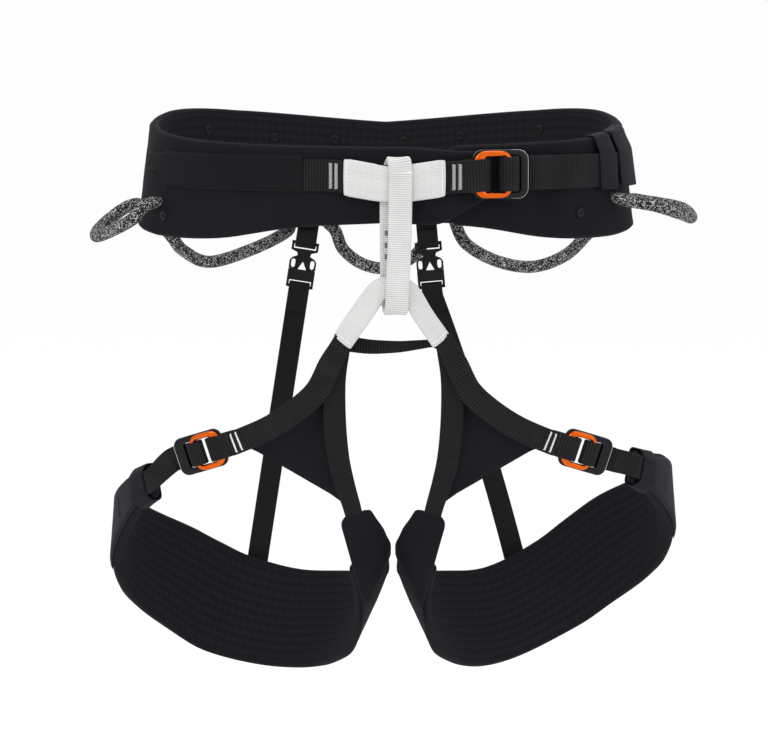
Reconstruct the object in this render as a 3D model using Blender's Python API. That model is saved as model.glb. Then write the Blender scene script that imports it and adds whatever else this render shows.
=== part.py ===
"""Climbing harness: waist belt, belay loop, two leg loops, rear risers and gear loops.

Lengths are in millimetres and MM turns them into Blender's metres. +X is to the
right, -Y is the front and +Z is up. The origin is the centre of the waist ring.
"""
import math

import bmesh
import bpy
import numpy as np
from mathutils import Matrix, Vector

MM = 0.001
GAP = 0.3

# Waist belt: an oval ring, flatter at the front and the back than an ellipse.
BELT_CENTRE_X = -5.0
BELT_HALF_WIDTH = 164.0
BELT_HALF_DEPTH = 112.0
BELT_SQUARENESS = 2.2
# Turn from the front centre in degrees, height of the top edge, height of the bottom edge.
BELT_EDGES = (
    (0, 21.0, -30.5),
    (20, 21.5, -34.0),
    (42, 23.0, -42.5),
    (65, 26.5, -43.5),
    (90, 33.0, -40.0),
    (115, 39.0, -42.0),
    (140, 37.0, -45.0),
    (180, 27.5, -46.0),
)
SHELL = 1.2
FOAM = 4.6
LINING = 1.2
PAD = SHELL + FOAM + LINING + 2 * GAP
# At both sides the belt spreads towards its lower edge.
FLARE = 0.12
FLARE_FROM_X = 100.0
FLARE_TOP = 36.0
# The belt's ends lap at the front right: the tongue outside, the other end inside.
TONGUE_END = 34.0
INNER_END = -348.0
LAP_FROM = -311.5
LAP_TO = -323.0
LAP_SHIFT = PAD + 1.2
# How far the tongue's top edge lies below the end beneath it, and where its lower edge climbs.
TONGUE_DROP = 3.5
TONGUE_CLIMB = 17.0

WEBBING = 23.0
WEBBING_THICK = 1.5
BUCKLE_AT = 70.5

# Belay loop and the two tie-in points.
LOOP_WIDTH = 15.6
LOOP_THICK = 3.0
SLEEVE_HEIGHT = 25.0
SLEEVE_THICK = 4.2

# Leg loops, drawn for the left leg and mirrored for the right one.
LEG_WEBBING = 16.5
LEG_PAD_SPLITS = 40
RIGHT_PAD_RISE = 22.0

# Rear risers: where each one leaves the belt and where it meets its leg loop.
RISER_WIDTH = 15.0
RISER_THICK = 1.2
RISERS = {
    "left": ((-61.0, 108.0, -48.5), (-99.0, 90.5, -296.0)),
    "right": ((24.5, 108.0, -48.5), (89.0, 92.5, -290.0)),
}
# Direction of the buckle; the strap bends from it to the foot.
RISER_HANG = {"left": (-38.0, -17.5, -247.5), "right": (21.0, -15.5, -241.5)}
RISER_BUCKLE_WIDTH = 19.5

# Gear loops: semi-rigid sheathed rope.
ROPE_RADIUS = 4.4
ROPE_TIP_RADIUS = 2.4


def clear_scene():
    for obj in list(bpy.data.objects):
        bpy.data.objects.remove(obj)


def material(name, colour, roughness, metallic=0.0):
    made = bpy.data.materials.new(name)
    made.use_nodes = True
    shader = made.node_tree.nodes["Principled BSDF"]
    shader.inputs["Base Color"].default_value = (*colour, 1.0)
    shader.inputs["Roughness"].default_value = roughness
    shader.inputs["Metallic"].default_value = metallic
    return made


def make_materials():
    return {
        "softshell": material("softshell", (0.016, 0.015, 0.021), 0.75),
        "quilted_lining": material("quilted_lining", (0.022, 0.021, 0.026), 0.85),
        "foam": material("foam", (0.05, 0.05, 0.055), 0.9),
        "black_webbing": material("black_webbing", (0.014, 0.014, 0.016), 0.7),
        "elastic": material("elastic", (0.012, 0.012, 0.013), 0.8),
        "white_webbing": material("white_webbing", (0.78, 0.79, 0.8), 0.7),
        "orange_anodised": material("orange_anodised", (0.85, 0.17, 0.02), 0.3, 1.0),
        "black_anodised": material("black_anodised", (0.03, 0.03, 0.032), 0.3, 1.0),
        "black_plastic": material("black_plastic", (0.02, 0.02, 0.02), 0.45),
        "speckled_sheath": material("speckled_sheath", (0.12, 0.12, 0.12), 0.8),
    }


def catmull(table, steps):
    """Rows along a smooth curve through the rows of table, ends included."""
    rows = np.array(table, float)
    padded = np.vstack([2 * rows[0] - rows[1], rows, 2 * rows[-1] - rows[-2]])
    out = []
    for s in np.linspace(0, len(rows) - 1, steps):
        k = min(int(s), len(rows) - 2)
        t = s - k
        a, b, c, d = padded[k : k + 4]
        out.append(
            0.5 * (2 * b + (c - a) * t + (2 * a - 5 * b + 4 * c - d) * t**2
                   + (3 * b - a - 3 * c + d) * t**3)
        )
    return np.array(out)


def unit(v):
    v = np.asarray(v, float)
    return v / np.linalg.norm(v)


def add_mesh(name, bm, look, smooth=True):
    bmesh.ops.recalc_face_normals(bm, faces=bm.faces)
    mesh = bpy.data.meshes.new(name)
    bm.to_mesh(mesh)
    bm.free()
    mesh.materials.append(look)
    if smooth:
        mesh.shade_smooth()
        mesh.set_sharp_from_angle(angle=math.radians(35))
    obj = bpy.data.objects.new(name, mesh)
    bpy.context.scene.collection.objects.link(obj)
    return obj


def loft(name, sections, look, ring=False):
    """A solid through sections of equal point count; ring joins the last to the first.

    Both faces of a layer are split along the same diagonals, so layers nest."""
    bm = bmesh.new()
    rows = [[bm.verts.new(np.asarray(p, float) * MM) for p in row] for row in sections]
    count = len(rows[0])
    pairs = list(zip(rows, rows[1:]))
    if ring:
        pairs.append((rows[-1], rows[0]))
    for near, far in pairs:
        for k in range(count):
            n = (k + 1) % count
            a, b = (k, n) if k < count / 2 else (n, k)
            bm.faces.new((near[a], near[b], far[b]))
            bm.faces.new((near[a], far[b], far[a]))
    if not ring:
        bm.faces.new(rows[0])
        bm.faces.new(rows[-1])
    return add_mesh(name, bm, look)


def strap_sections(centre, normals, widths, thick):
    """Rectangles across a strap whose flat face looks along its normals."""
    centre = np.asarray(centre, float)
    normals = np.asarray(normals, float)
    tangents = np.gradient(centre, axis=0)
    sections = []
    for point, normal, tangent, width in zip(centre, normals, tangents, widths):
        tangent = unit(tangent)
        normal = unit(normal - tangent * normal.dot(tangent))
        across = np.cross(tangent, normal) * width / 2
        up = normal * thick / 2
        sections.append([point - across - up, point + across - up,
                         point + across + up, point - across + up])
    return sections


def strap(name, table, thick, look, steps=16):
    """table rows: x, y, z, normal x, y, z, width."""
    rows = catmull(table, steps)
    return loft(name, strap_sections(rows[:, :3], rows[:, 3:6], rows[:, 6], thick), look)


def tube(name, route, look, steps=26):
    """A rope whose ends taper where they enter the belt."""
    points = catmull(route, steps)
    curve = bpy.data.curves.new(name, "CURVE")
    curve.dimensions = "3D"
    curve.bevel_depth = ROPE_RADIUS * MM
    curve.bevel_resolution = 2
    curve.use_fill_caps = True
    spline = curve.splines.new("POLY")
    spline.points.add(len(points) - 1)
    for k, (slot, point) in enumerate(zip(spline.points, points)):
        slot.co = (*(point * MM), 1.0)
        slot.radius = ROPE_TIP_RADIUS / ROPE_RADIUS if k in (0, steps - 1) else 1.0
    curve.materials.append(look)
    obj = bpy.data.objects.new(name, curve)
    bpy.context.scene.collection.objects.link(obj)
    return obj


# ---------------------------------------------------------------- waist belt


def belt_plan(turn, lift=0.0):
    """Point of the belt's outer face in plan, moved outward by lift."""
    a = math.radians(turn)
    power = 2 / BELT_SQUARENESS
    sx = math.copysign(abs(math.sin(a)) ** power, math.sin(a))
    sy = math.copysign(abs(math.cos(a)) ** power, math.cos(a))
    grow = BELT_SQUARENESS - 1
    normal = unit((
        math.copysign(abs(sx) ** grow, sx) / BELT_HALF_WIDTH,
        -math.copysign(abs(sy) ** grow, sy) / BELT_HALF_DEPTH,
    ))
    point = np.array([BELT_CENTRE_X + BELT_HALF_WIDTH * sx, -BELT_HALF_DEPTH * sy])
    return point + normal * lift, normal


def belt_point(plan, height):
    """A point at a place in plan and a height, with the spread of the belt's sides."""
    x, y = plan
    aside = x - BELT_CENTRE_X
    share = max(abs(aside) - FLARE_FROM_X, 0.0) / (BELT_HALF_WIDTH - FLARE_FROM_X)
    push = FLARE * (FLARE_TOP - height) * share**2
    return (x + math.copysign(push, aside), y, height)


def belt_edges(turn):
    """Heights of the belt's top and bottom edges at a turn."""
    around = abs((turn + 180) % 360 - 180)
    turns = [row[0] for row in BELT_EDGES]
    k = float(np.interp(around, turns, range(len(turns))))
    rows = catmull(BELT_EDGES, 8 * (len(BELT_EDGES) - 1) + 1)
    grid = np.arange(len(rows)) / 8
    return float(np.interp(k, grid, rows[:, 1])), float(np.interp(k, grid, rows[:, 2]))


def ease(t):
    t = min(max(t, 0.0), 1.0)
    return t * t * (3 - 2 * t)


def lap(turn):
    return -LAP_SHIFT * ease((LAP_FROM - turn) / (LAP_FROM - LAP_TO))


def pad_edges(turn):
    """Heights of the pad's edges: the tongue is lower on top and climbs underneath."""
    top, bottom = belt_edges(turn)
    top -= TONGUE_DROP * ease((turn - 2) / 16)
    bottom += TONGUE_CLIMB * ease((turn - 9) / 16)
    return top, bottom


def belt_table():
    """Distance along the belt's outer face from the front centre, against turn."""
    turns = np.linspace(-200, 200, 1601)
    points = np.array([belt_plan(t)[0] for t in turns])
    steps = np.linalg.norm(np.diff(points, axis=0), axis=1)
    along = np.concatenate([[0], np.cumsum(steps)])
    return turns, along - np.interp(0, turns, along)


TURNS, ALONG = belt_table()


def turn_at(distance):
    return float(np.interp(distance, ALONG, TURNS))


def belt_layer(name, low, high, look, trim=0.0):
    """One layer of the belt's pad from tongue to inner end, between two lifts."""
    turns = np.linspace(TONGUE_END, INNER_END, 62)
    sections = []
    for k, turn in enumerate(turns):
        top, bottom = pad_edges(turn)
        from_end = min(k, len(turns) - 1 - k)
        taper = (9.0, 3.5, 1.0)[from_end] if from_end < 3 else 0.0
        top, bottom = top - trim - taper, bottom + trim + taper
        shift = lap(turn)
        inner = belt_plan(turn, low + shift)[0]
        outer = belt_plan(turn, high + shift)[0]
        corners = ((inner, bottom), (outer, bottom), (outer, top), (inner, top))
        sections.append([belt_point(*corner) for corner in corners])
    return loft(name, sections, look)


def webbing_height(distance):
    """Middle height of the waist webbing at a distance along the belt."""
    return -1.5 + 3.5 * ease((5 - distance) / 50) + 4.2 * ease((distance - 5) / 75)


def belt_strap_sections(route, width, thick, drop=None):
    """Sections of a strap standing on edge along the belt; route rows: distance, lift."""
    plan = np.array([belt_plan(turn_at(d), lift)[0] for d, lift in route])
    tangents = np.gradient(plan, axis=0)
    sections = []
    for (distance, _), point, tangent in zip(route, plan, tangents):
        side = unit((tangent[1], -tangent[0])) * thick / 2
        middle = webbing_height(distance) + (drop(distance) if drop else 0.0)
        low, high = middle - width / 2, middle + width / 2
        sections.append([belt_point(point - side, low), belt_point(point + side, low),
                         belt_point(point + side, high), belt_point(point - side, high)])
    return sections


def belt_strap(name, route, width, thick, look, drop=None):
    return loft(name, belt_strap_sections(route, width, thick, drop), look)


def u_turn(centre, radius, start, end, steps=5):
    """Points of a wrap around a bar, as (distance, lift), angles in degrees."""
    angles = np.radians(np.linspace(start, end, steps))
    return [(centre[0] + radius[0] * math.cos(a), centre[1] + radius[1] * math.sin(a))
            for a in angles]


def tie_in_lift(distance):
    """Lift of the upper tie-in: it stands off the belt where the belay loop passes."""
    t = math.cos(math.radians(min(abs(distance - 5.3) / 36, 1.0) * 90)) ** 0.7
    return 2.6 + 4.1 * t


def belt_webbing(looks):
    """Fixed webbing through the tie-in sleeve, and the adjusting webbing with its tail."""
    bar = (BUCKLE_AT - 9.3, 7.2)
    route = [(d, 1.1) for d in range(-183, -40, 11)]
    route += [(d, tie_in_lift(d)) for d in np.linspace(-32, 42, 12)]
    route += [(BUCKLE_AT - 20.7, 6.8), (BUCKLE_AT - 17.6, 10.3), (BUCKLE_AT - 14.2, 12.1)]
    route += u_turn(bar, (7.0, 5.2), 72, -72, 8)
    route += [(BUCKLE_AT - 13.6, 2.4), (BUCKLE_AT - 17.5, 2.6)]
    belt_strap("waist_webbing_fixed", route, WEBBING - 1.2, WEBBING_THICK, looks["black_webbing"])

    start = BUCKLE_AT + 128
    route = [(d, 1.1) for d in np.linspace(start, BUCKLE_AT + 18, 9)]
    route += [(BUCKLE_AT + 9.4, 1.3), (BUCKLE_AT + 6.8, 3.0), (BUCKLE_AT + 5.6, 6.0)]
    route += [(BUCKLE_AT + 5.9, 9.4), (BUCKLE_AT + 8.0, 11.7), (BUCKLE_AT + 11.2, 12.3)]
    route += [(BUCKLE_AT + 14.4, 11.7), (BUCKLE_AT + 16.5, 9.4), (BUCKLE_AT + 16.8, 6.0)]
    route += [(BUCKLE_AT + 18.0, 3.5), (BUCKLE_AT + 21.0, 3.0)]
    route += [(d, 3.0) for d in np.linspace(BUCKLE_AT + 27, start - 10, 8)]
    belt_strap("waist_webbing_adjust", route, WEBBING, WEBBING_THICK, looks["black_webbing"])


def tie_in_sleeve(looks):
    """White sleeve around the fixed webbing, open at both ends."""
    stations = np.linspace(-26, 40, 14)
    route = [(d, tie_in_lift(d)) for d in stations]

    def droop(distance):
        return -1.9 * math.exp(-((distance - 5) / 22) ** 2)

    hole = WEBBING_THICK + 2 * GAP
    outer = belt_strap_sections(route, SLEEVE_HEIGHT, SLEEVE_THICK, droop)
    inner = belt_strap_sections(route, WEBBING + 0.6 - 1.2, hole)
    bm = bmesh.new()
    rings = []
    for row in (outer, inner):
        rings.append([[bm.verts.new(np.asarray(p, float) * MM) for p in s] for s in row])
    for shell in rings:
        for near, far in zip(shell, shell[1:]):
            for k in range(4):
                bm.faces.new((near[k], near[(k + 1) % 4], far[(k + 1) % 4], far[k]))
    for end in (0, -1):
        for k in range(4):
            n = (k + 1) % 4
            bm.faces.new((rings[0][end][k], rings[0][end][n], rings[1][end][n], rings[1][end][k]))
    add_mesh("tie_in_upper_sleeve", bm, looks["white_webbing"])


def belt_patch(name, start, end, low, high, heights, look, steps=10):
    """A flat cover on the belt between two distances; heights gives (bottom, top)."""
    sections = []
    for distance in np.linspace(start, end, steps):
        turn = turn_at(distance)
        inner, outer = belt_plan(turn, low)[0], belt_plan(turn, high)[0]
        bottom, top = heights(distance)
        corners = ((inner, bottom), (outer, bottom), (outer, top), (inner, top))
        sections.append([belt_point(*corner) for corner in corners])
    return loft(name, sections, look)


def rim_hook(name, start, end, out, ends, look):
    """An elastic band over the belt's top edge; ends are its heights inside and outside."""
    inside, thick, clear = -PAD - 0.5, 0.9, 0.5
    stations = np.linspace(start, end, 5)
    path = ((inside, -thick, ends[0]), (inside, -thick, None), (out, thick, None),
            (out, thick, ends[1]))
    sections = []
    for lift, grow, height in path:
        section = []
        for shell, distance in [(0, d) for d in stations] + [(1, d) for d in stations[::-1]]:
            turn = turn_at(distance)
            plan = belt_plan(turn, lift + shell * grow)[0]
            rim = belt_edges(turn)[0] + clear + shell * thick
            section.append(belt_point(plan, rim if height is None else height))
        sections.append(section)
    return loft(name, sections, look)


def rivet(name, turn_on_belt, height, inside, look):
    """A round stud head standing on the belt's outer or inner face."""
    clear = GAP + 0.15
    plan, normal = belt_plan(turn_on_belt, -PAD - clear if inside else clear)
    outward = Vector((*(-normal if inside else normal), 0.0))
    bm = bmesh.new()
    bmesh.ops.create_cone(bm, cap_ends=True, segments=12, radius1=3.4 * MM, radius2=2.4 * MM,
                          depth=1.4 * MM)
    turn = outward.to_track_quat("Z", "Y").to_matrix().to_4x4()
    middle = Vector(belt_point(plan, height)) * MM
    place = Matrix.Translation(middle + outward * 0.7 * MM)
    bmesh.ops.transform(bm, matrix=place @ turn, verts=bm.verts)
    add_mesh(name, bm, look)


def rivets(looks):
    """Six studs inside the back of the belt and one on each front corner."""
    inside = ((-128.5, 24), (-152, 17), (-168.5, 15), (-183.5, 14), (-197.5, 18), (-222, 23.5))
    for k, (turn, height) in enumerate(inside):
        rivet(f"belt_stud_rear_{k + 1}", turn, height, True, looks["black_plastic"])
    rivet("belt_stud_front_left", -63, -29, False, looks["black_plastic"])
    rivet("belt_stud_front_right", 51, -25.5, False, looks["black_plastic"])


# ---------------------------------------------------------------- buckles


def rounded_loop(low, high, radius, per_corner=3):
    """Points round a rectangle with round corners, from (u, v) low to high."""
    points = []
    for k in range(4):
        cu = (high[0] - radius) if k in (0, 3) else (low[0] + radius)
        cv = (high[1] - radius) if k in (0, 1) else (low[1] + radius)
        for a in np.radians(np.linspace(90 * k, 90 * k + 90, per_corner)):
            points.append((cu + radius * math.cos(a), cv + radius * math.sin(a)))
    return points


def frame_ring(name, place, outer, inner, low, high, look):
    """A flat metal frame between two rounded rectangles, edges chamfered."""
    chamfer = 0.6
    sections = []
    for (ou, ov), (iu, iv) in zip(outer, inner):
        toward = unit((iu - ou, iv - ov)) * chamfer
        local = [(ou, ov, low + chamfer), (ou + toward[0], ov + toward[1], low),
                 (iu - toward[0], iv - toward[1], low), (iu, iv, low + chamfer),
                 (iu, iv, high - chamfer), (iu - toward[0], iv - toward[1], high),
                 (ou + toward[0], ov + toward[1], high), (ou, ov, high - chamfer)]
        sections.append([place(*p) for p in local])
    loft(name, sections, look, ring=True)


def buckle(prefix, place, width, size, base, looks):
    """Inner orange frame over an outer black frame; size scales lengths along the webbing."""
    half = width / 2 + 0.7
    rail, wide_rail = half + 3.7, half + 4.3
    left, right, far_right = -14.2 * size, 14.2 * size, 25.2 * size
    frame_ring(
        f"{prefix}_inner_frame", place,
        rounded_loop((left, -rail), (right, rail), 3.2),
        rounded_loop((-5.6 * size, -half), (8.4 * size, half), 1.0),
        base + 3.0, base + 5.8, looks["orange_anodised"],
    )
    frame_ring(
        f"{prefix}_outer_frame", place,
        rounded_loop((left, -wide_rail), (far_right, wide_rail), 7.0 * size),
        rounded_loop((-6.4 * size, -half), (19.6 * size, half), 2.0),
        base, base + 2.7, looks["black_anodised"],
    )


def placed(origin, along, outward):
    """Maps (u, v, w) to world: u along, w outward, v across."""
    along = unit(along)
    outward = np.asarray(outward, float)
    outward = unit(outward - along * outward.dot(along))
    across = np.cross(outward, along)

    def place(u, v, w):
        return np.asarray(origin, float) + along * u + across * v + outward * w

    return place


def waist_buckle(looks):
    turn = turn_at(BUCKLE_AT)
    plan, normal = belt_plan(turn)
    tangent = belt_plan(turn + 0.5)[0] - belt_plan(turn - 0.5)[0]
    place = placed((*plan, webbing_height(BUCKLE_AT)), (*tangent, 0), (*normal, 0))
    buckle("waist_buckle", place, WEBBING, 1.0, 4.3, looks)


# ---------------------------------------------------------------- tie-in and belay loop


def belay_loop(looks):
    """Sewn loop through both tie-in points; its back run sits a little to the left."""
    rows = (
        (4.8, -123.0, 4.0), (4.6, -123.4, -20.0), (4.0, -125.0, -45.0), (3.0, -124.6, -68.0),
        (2.3, -122.2, -85.0), (1.4, -118.0, -89.9), (0.2, -113.0, -85.6), (-1.0, -111.4, -70.0),
        (-1.2, -111.6, -52.0), (-1.2, -113.8, -35.0), (-1.2, -114.1, -16.0), (-1.0, -114.1, 5.0),
        (0.4, -115.0, 12.6), (2.2, -118.4, 15.3), (4.2, -121.8, 12.8),
    )
    points = catmull(rows + (rows[0],), 42)[:-1]
    count = len(points)
    sections = []
    for k, point in enumerate(points):
        tangent = unit((points[(k + 1) % count] - points[k - 1]) * (0, 1, 1))
        out = np.cross((1.0, 0.0, 0.0), tangent) * LOOP_THICK / 2
        side = np.array([LOOP_WIDTH / 2, 0, 0])
        sections.append([point - side - out, point + side - out,
                         point + side + out, point - side + out])
    loft("belay_loop", sections, looks["white_webbing"], ring=True)


def lower_tie_in(looks):
    """White sleeve in an inverted V, and the strap that bridges the leg loops."""
    rows = (
        (-34.6, -101.0, -111.0, -0.25, -1, 0.1, 15.5), (-22.5, -108.0, -93.0, -0.3, -1, 0.2, 16.5),
        (-9.5, -116.9, -75.0, -0.2, -1, 0.1, 15.0), (1.2, -118.4, -72.5, 0, -1, 0, 13.0),
        (11.5, -116.9, -75.6, 0.2, -1, 0.1, 15.0), (23.0, -108.0, -93.5, 0.3, -1, 0.2, 16.5),
        (34.6, -101.0, -111.0, 0.25, -1, 0.1, 15.5),
    )
    strap("tie_in_lower_sleeve", rows, SLEEVE_THICK, looks["white_webbing"], 19)
    rows = (
        (-29.0, -95.4, -113.5, -0.15, -1, 0.4, 11.0), (-15.0, -94.2, -115.3, 0, -1, 0.3, 10.0),
        (3.0, -93.6, -115.4, 0, -1, 0.2, 8.0), (17.0, -94.0, -114.0, 0, -1, 0.3, 6.5),
        (26.5, -94.8, -113.2, 0.15, -1, 0.4, 5.4), (32.5, -95.6, -116.0, 0.15, -1, 0.4, 5.0),
    )
    strap("leg_bridge_strap", rows, 1.4, looks["black_webbing"], 14)


# ---------------------------------------------------------------- leg loops

# Left leg pad, from the buckle round the outside and the back to the crotch:
# top edge x, y, z, then bottom edge x, y, z, both on the outer face.
LEG_PAD = (
    (-165, -66, -198, -161, -68, -220),
    (-182, -42, -209, -179, -51, -235),
    (-193, -4, -225, -196, -12, -272),
    (-186, 31, -237, -195, 17, -297),
    (-169, 54, -249, -184, 44, -316),
    (-147, 71, -261, -163, 69, -336),
    (-125, 82, -274, -141, 83, -352),
    (-103, 87, -285, -115, 88, -361),
    (-66, 80, -294, -84, 77, -365),
    (-29, 58, -293, -58, 52, -362),
    (-8, 25, -289, -40, 25, -354),
    (-1.6, -5, -281, -27, -5, -339),
    (-3.0, -35, -262, -21, -38, -307),
    (-9, -57, -244, -27, -58, -275),
)


def pad_section(t, lift, trim=0.0):
    """Top and bottom points of the left leg pad at t, moved outward by lift."""
    rows = catmull(LEG_PAD, 12 * (len(LEG_PAD) - 1) + 1)
    grid = np.linspace(0, 1, len(rows))
    here = np.array([np.interp(t, grid, rows[:, k]) for k in range(6)])
    step = 0.01
    ahead = np.array([np.interp(min(t + step, 1), grid, rows[:, k]) for k in range(6)])
    behind = np.array([np.interp(max(t - step, 0), grid, rows[:, k]) for k in range(6)])
    tangent = (ahead - behind)[:3] + (ahead - behind)[3:]
    fall = here[3:] - here[:3]
    outward = unit(np.cross(tangent, fall))
    edge = unit(fall) * trim
    return here[:3] + outward * lift + edge, here[3:] + outward * lift - edge, outward


def pad_layer(name, low, high, look, side, start=0.0, end=1.0, trim=0.0, steps=LEG_PAD_SPLITS):
    sections = []
    for t in np.linspace(start, end, steps):
        inner_top, inner_bottom, _ = pad_section(t, low, trim)
        outer_top, outer_bottom, _ = pad_section(t, high, trim)
        sections.append([pad_sided(p, side) for p in
                         (inner_bottom, outer_bottom, outer_top, inner_top)])
    return loft(name, sections, look)


def pad_ring(name, start, end, out, thick, look, side):
    """An elastic band round the pad's section and the webbing tail on it."""
    def corner(t, lift, grow, top):
        a, b, _ = pad_section(t, lift)
        edge = unit(b - a) * grow
        return pad_sided(a - edge if top else b + edge, side)

    loops = ((-PAD - 1.3, out, 0.5), (-PAD - 1.3 - thick, out + thick, 0.5 + thick))
    sections = []
    for which, top in ((0, False), (1, False), (1, True), (0, True)):
        section = []
        for k, t in ((0, start), (0, end), (1, end), (1, start)):
            section.append(corner(t, loops[k][which], loops[k][2], top))
        sections.append(section)
    loft(name, sections, look, ring=True)


def mirrored(point, side):
    return np.asarray(point, float) * ((1, 1, 1) if side == "left" else (-1, 1, 1))


def pad_sided(point, side):
    """A point of the left pad on the asked side; the right pad sits higher behind."""
    x, y, z = point
    if side == "right":
        behind = 0.45 + 0.55 * ease((y + 66) / 60)
        z += RIGHT_PAD_RISE * ease((-x - 50) / 110) * behind
    return mirrored((x, y, z), side)


def mirror_rows(rows, side):
    """Strap rows for the asked side: x and the normal's x change sign on the right."""
    if side == "left":
        return rows
    return [(-r[0], r[1], r[2], -r[3], r[4], r[5], r[6]) for r in rows]


def leg_buckle_place(side):
    origin, along, outward = (-125.0, -79.0, -187.0), (-0.90, 0.31, -0.30), (-0.30, -0.95, -0.08)
    if side == "left":
        return placed(origin, along, outward)
    return placed(*(mirrored(v, "right") for v in (origin, along, outward)))


def leg_webbing(side, looks):
    """Front webbing to the buckle, inner webbing to the crotch and the gusset between."""
    place = leg_buckle_place(side)
    out = place(0, 0, 1) - place(0, 0, 0)

    def local(u, w, lean):
        point = place(u, 0, w)
        along = place(1, 0, 0) - place(0, 0, 0)
        normal = out * math.cos(math.radians(lean)) - along * math.sin(math.radians(lean))
        return (*point, *normal, LEG_WEBBING)

    rows = mirror_rows([
        (-35.5, -102.0, -112.6, -0.1, -1, 0.0, 13.0), (-43.0, -102.2, -127.0, -0.2, -1, 0.0, 16.0),
        (-52.0, -101.0, -145.0, -0.25, -1, -0.05, 16.5), (-67.0, -98.5, -159.0, -0.3, -1, -0.1, 16.5),
        (-85.0, -94.0, -171.0, -0.3, -0.95, -0.1, 16.5),
    ], side)
    rows += [local(-22, 4.4, -5), local(-16, 7.2, -15), local(-11.5, 8.4, 0), local(-7.0, 8.5, 0),
             local(-3.3, 7.6, 45), local(-2.1, 3.9, 90), local(-3.3, 0.2, 135),
             local(-8, -0.8, 180), local(-15, -0.6, 180), local(-20.5, 0.4, 180)]
    strap(f"leg_webbing_front_{side}", rows, 1.3, looks["black_webbing"], 44)

    rows = mirror_rows([
        (-34.9, -99.7, -112.9, 0, -1, 0, 12.5), (-39.4, -98.8, -138.0, 0, -1, 0, 14.5),
        (-39.8, -95.0, -165.0, 0.05, -1, -0.1, 15.5), (-37.5, -88.0, -191.0, 0.1, -1, -0.3, 15.0),
        (-33.5, -80.5, -210.0, 0.1, -1, -0.35, 14.0), (-29.0, -76.0, -225.0, 0.1, -1, -0.35, 12.0),
    ], side)
    strap(f"leg_webbing_inner_{side}", rows, 1.3, looks["black_webbing"], 16)

    left = catmull(((-52, -96.6, -148), (-67, -94, -162), (-84, -88.5, -175.5), (-98, -83, -186)), 9)
    right = catmull(((-49, -95.6, -153), (-45, -90.2, -178), (-38.5, -80.4, -206), (-33, -74.2, -226)), 9)
    back = np.array((0.1, 0.97, 0.15))
    sections = [[mirrored(p, side) for p in (a, b, b + back, a + back)]
                for a, b in zip(left, right)]
    loft(f"leg_gusset_{side}", sections, looks["softshell"])


def leg_adjust(side, looks):
    """Adjusting webbing: out of the pad, through the buckle and back along the pad."""
    place = leg_buckle_place(side)
    s = 0.84

    def row(u, w, lean, width=LEG_WEBBING):
        along = place(1, 0, 0) - place(0, 0, 0)
        out = place(0, 0, 1) - place(0, 0, 0)
        normal = out * math.cos(math.radians(lean)) + along * math.sin(math.radians(lean))
        return (*place(u, 0, w), *normal, width)

    rows = [row(29.0, -2.3, 0), row(24, -2.1, 0), row(20 * s, -1.8, 0), row(9.5 * s, -1.2, 10)]
    rows += [row(6.2 * s, 0.8, 60), row(5.3 * s, 4.0, 90), row(6.6 * s, 7.2, 130)]
    rows += [row(10.6 * s, 8.4, 180), row(14.6 * s, 7.2, 230), row(16.6 * s, 4.0, 262)]
    rows += [row(17.6 * s, 1.0, 230), row(20.6 * s, 0.1, 190), row(29, 0.1, 180)]
    tail = []
    for t, lift in ((0.0, 4.0), (0.04, 2.2), (0.08, 1.6), (0.115, 1.6)):
        top, bottom, outward = pad_section(t, lift)
        middle = (top + bottom) / 2
        tail.append((*pad_sided(middle, side), *mirrored(-outward, side), LEG_WEBBING - 0.5))
    strap(f"leg_webbing_adjust_{side}", rows + tail, 1.3, looks["black_webbing"], 52)


def crotch_sleeve(side, looks):
    """Fabric sleeve closing the pad's inner front end round the inner webbing."""
    sections = []
    for t in (0.94, 0.97, 1.0):
        low_top, low_bottom, _ = pad_section(t, 0.9, -0.8)
        high_top, high_bottom, _ = pad_section(t, 2.6, -0.8)
        sections.append([low_bottom, high_bottom, high_top, low_top])
    for top, bottom in (((-12, -65.5, -236), (-32, -66, -255)), ((-16, -73, -228.5), (-37, -74, -236))):
        out = np.array((0.5, -2.2, -0.4))
        top, bottom = np.array(top, float), np.array(bottom, float)
        sections.append([bottom, bottom + out, top + out, top])
    loft(f"crotch_sleeve_{side}", [[mirrored(p, side) for p in s] for s in sections],
         looks["softshell"])


def tail_pocket(side, looks):
    """Elastic pocket low on the outside of the pad that holds the webbing tail."""
    sections = []
    for t in np.linspace(0.135, 0.19, 5):
        low_top, low_bottom, _ = pad_section(t, GAP, 2.0)
        high_top, high_bottom, _ = pad_section(t, 2.2, 2.0)
        sections.append([pad_sided(p, side) for p in (low_bottom, high_bottom, high_top, low_top)])
    loft(f"leg_tail_pocket_{side}", sections, looks["elastic"])


def leg_loop(side, looks):
    pad_layer(f"leg_pad_shell_{side}", -SHELL, 0, looks["softshell"], side)
    pad_layer(f"leg_pad_foam_{side}", -SHELL - GAP - FOAM, -SHELL - GAP, looks["foam"], side, trim=1.0)
    pad_layer(f"leg_pad_lining_{side}", -PAD, -PAD + LINING, looks["quilted_lining"], side)
    leg_webbing(side, looks)
    buckle(f"leg_buckle_{side}", leg_buckle_place(side), LEG_WEBBING, 0.84, 1.0, looks)
    leg_adjust(side, looks)
    crotch_sleeve(side, looks)
    pad_ring(f"leg_keeper_{side}", 0.024, 0.060, 5.4, 0.9, looks["elastic"], side)
    tail_pocket(side, looks)


# ---------------------------------------------------------------- risers


def riser_place(side):
    """Maps (across, out, down) on a riser to world."""
    top = np.array(RISERS[side][0])
    down = unit(RISER_HANG[side])
    across = unit(np.cross((0, 1, 0), down))
    if across[0] < 0:
        across = -across
    out = unit(np.cross(down, across))
    if out[1] < 0:
        out = -out

    def place(a, n, length):
        return top + across * a + out * n + down * length

    return place


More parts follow.
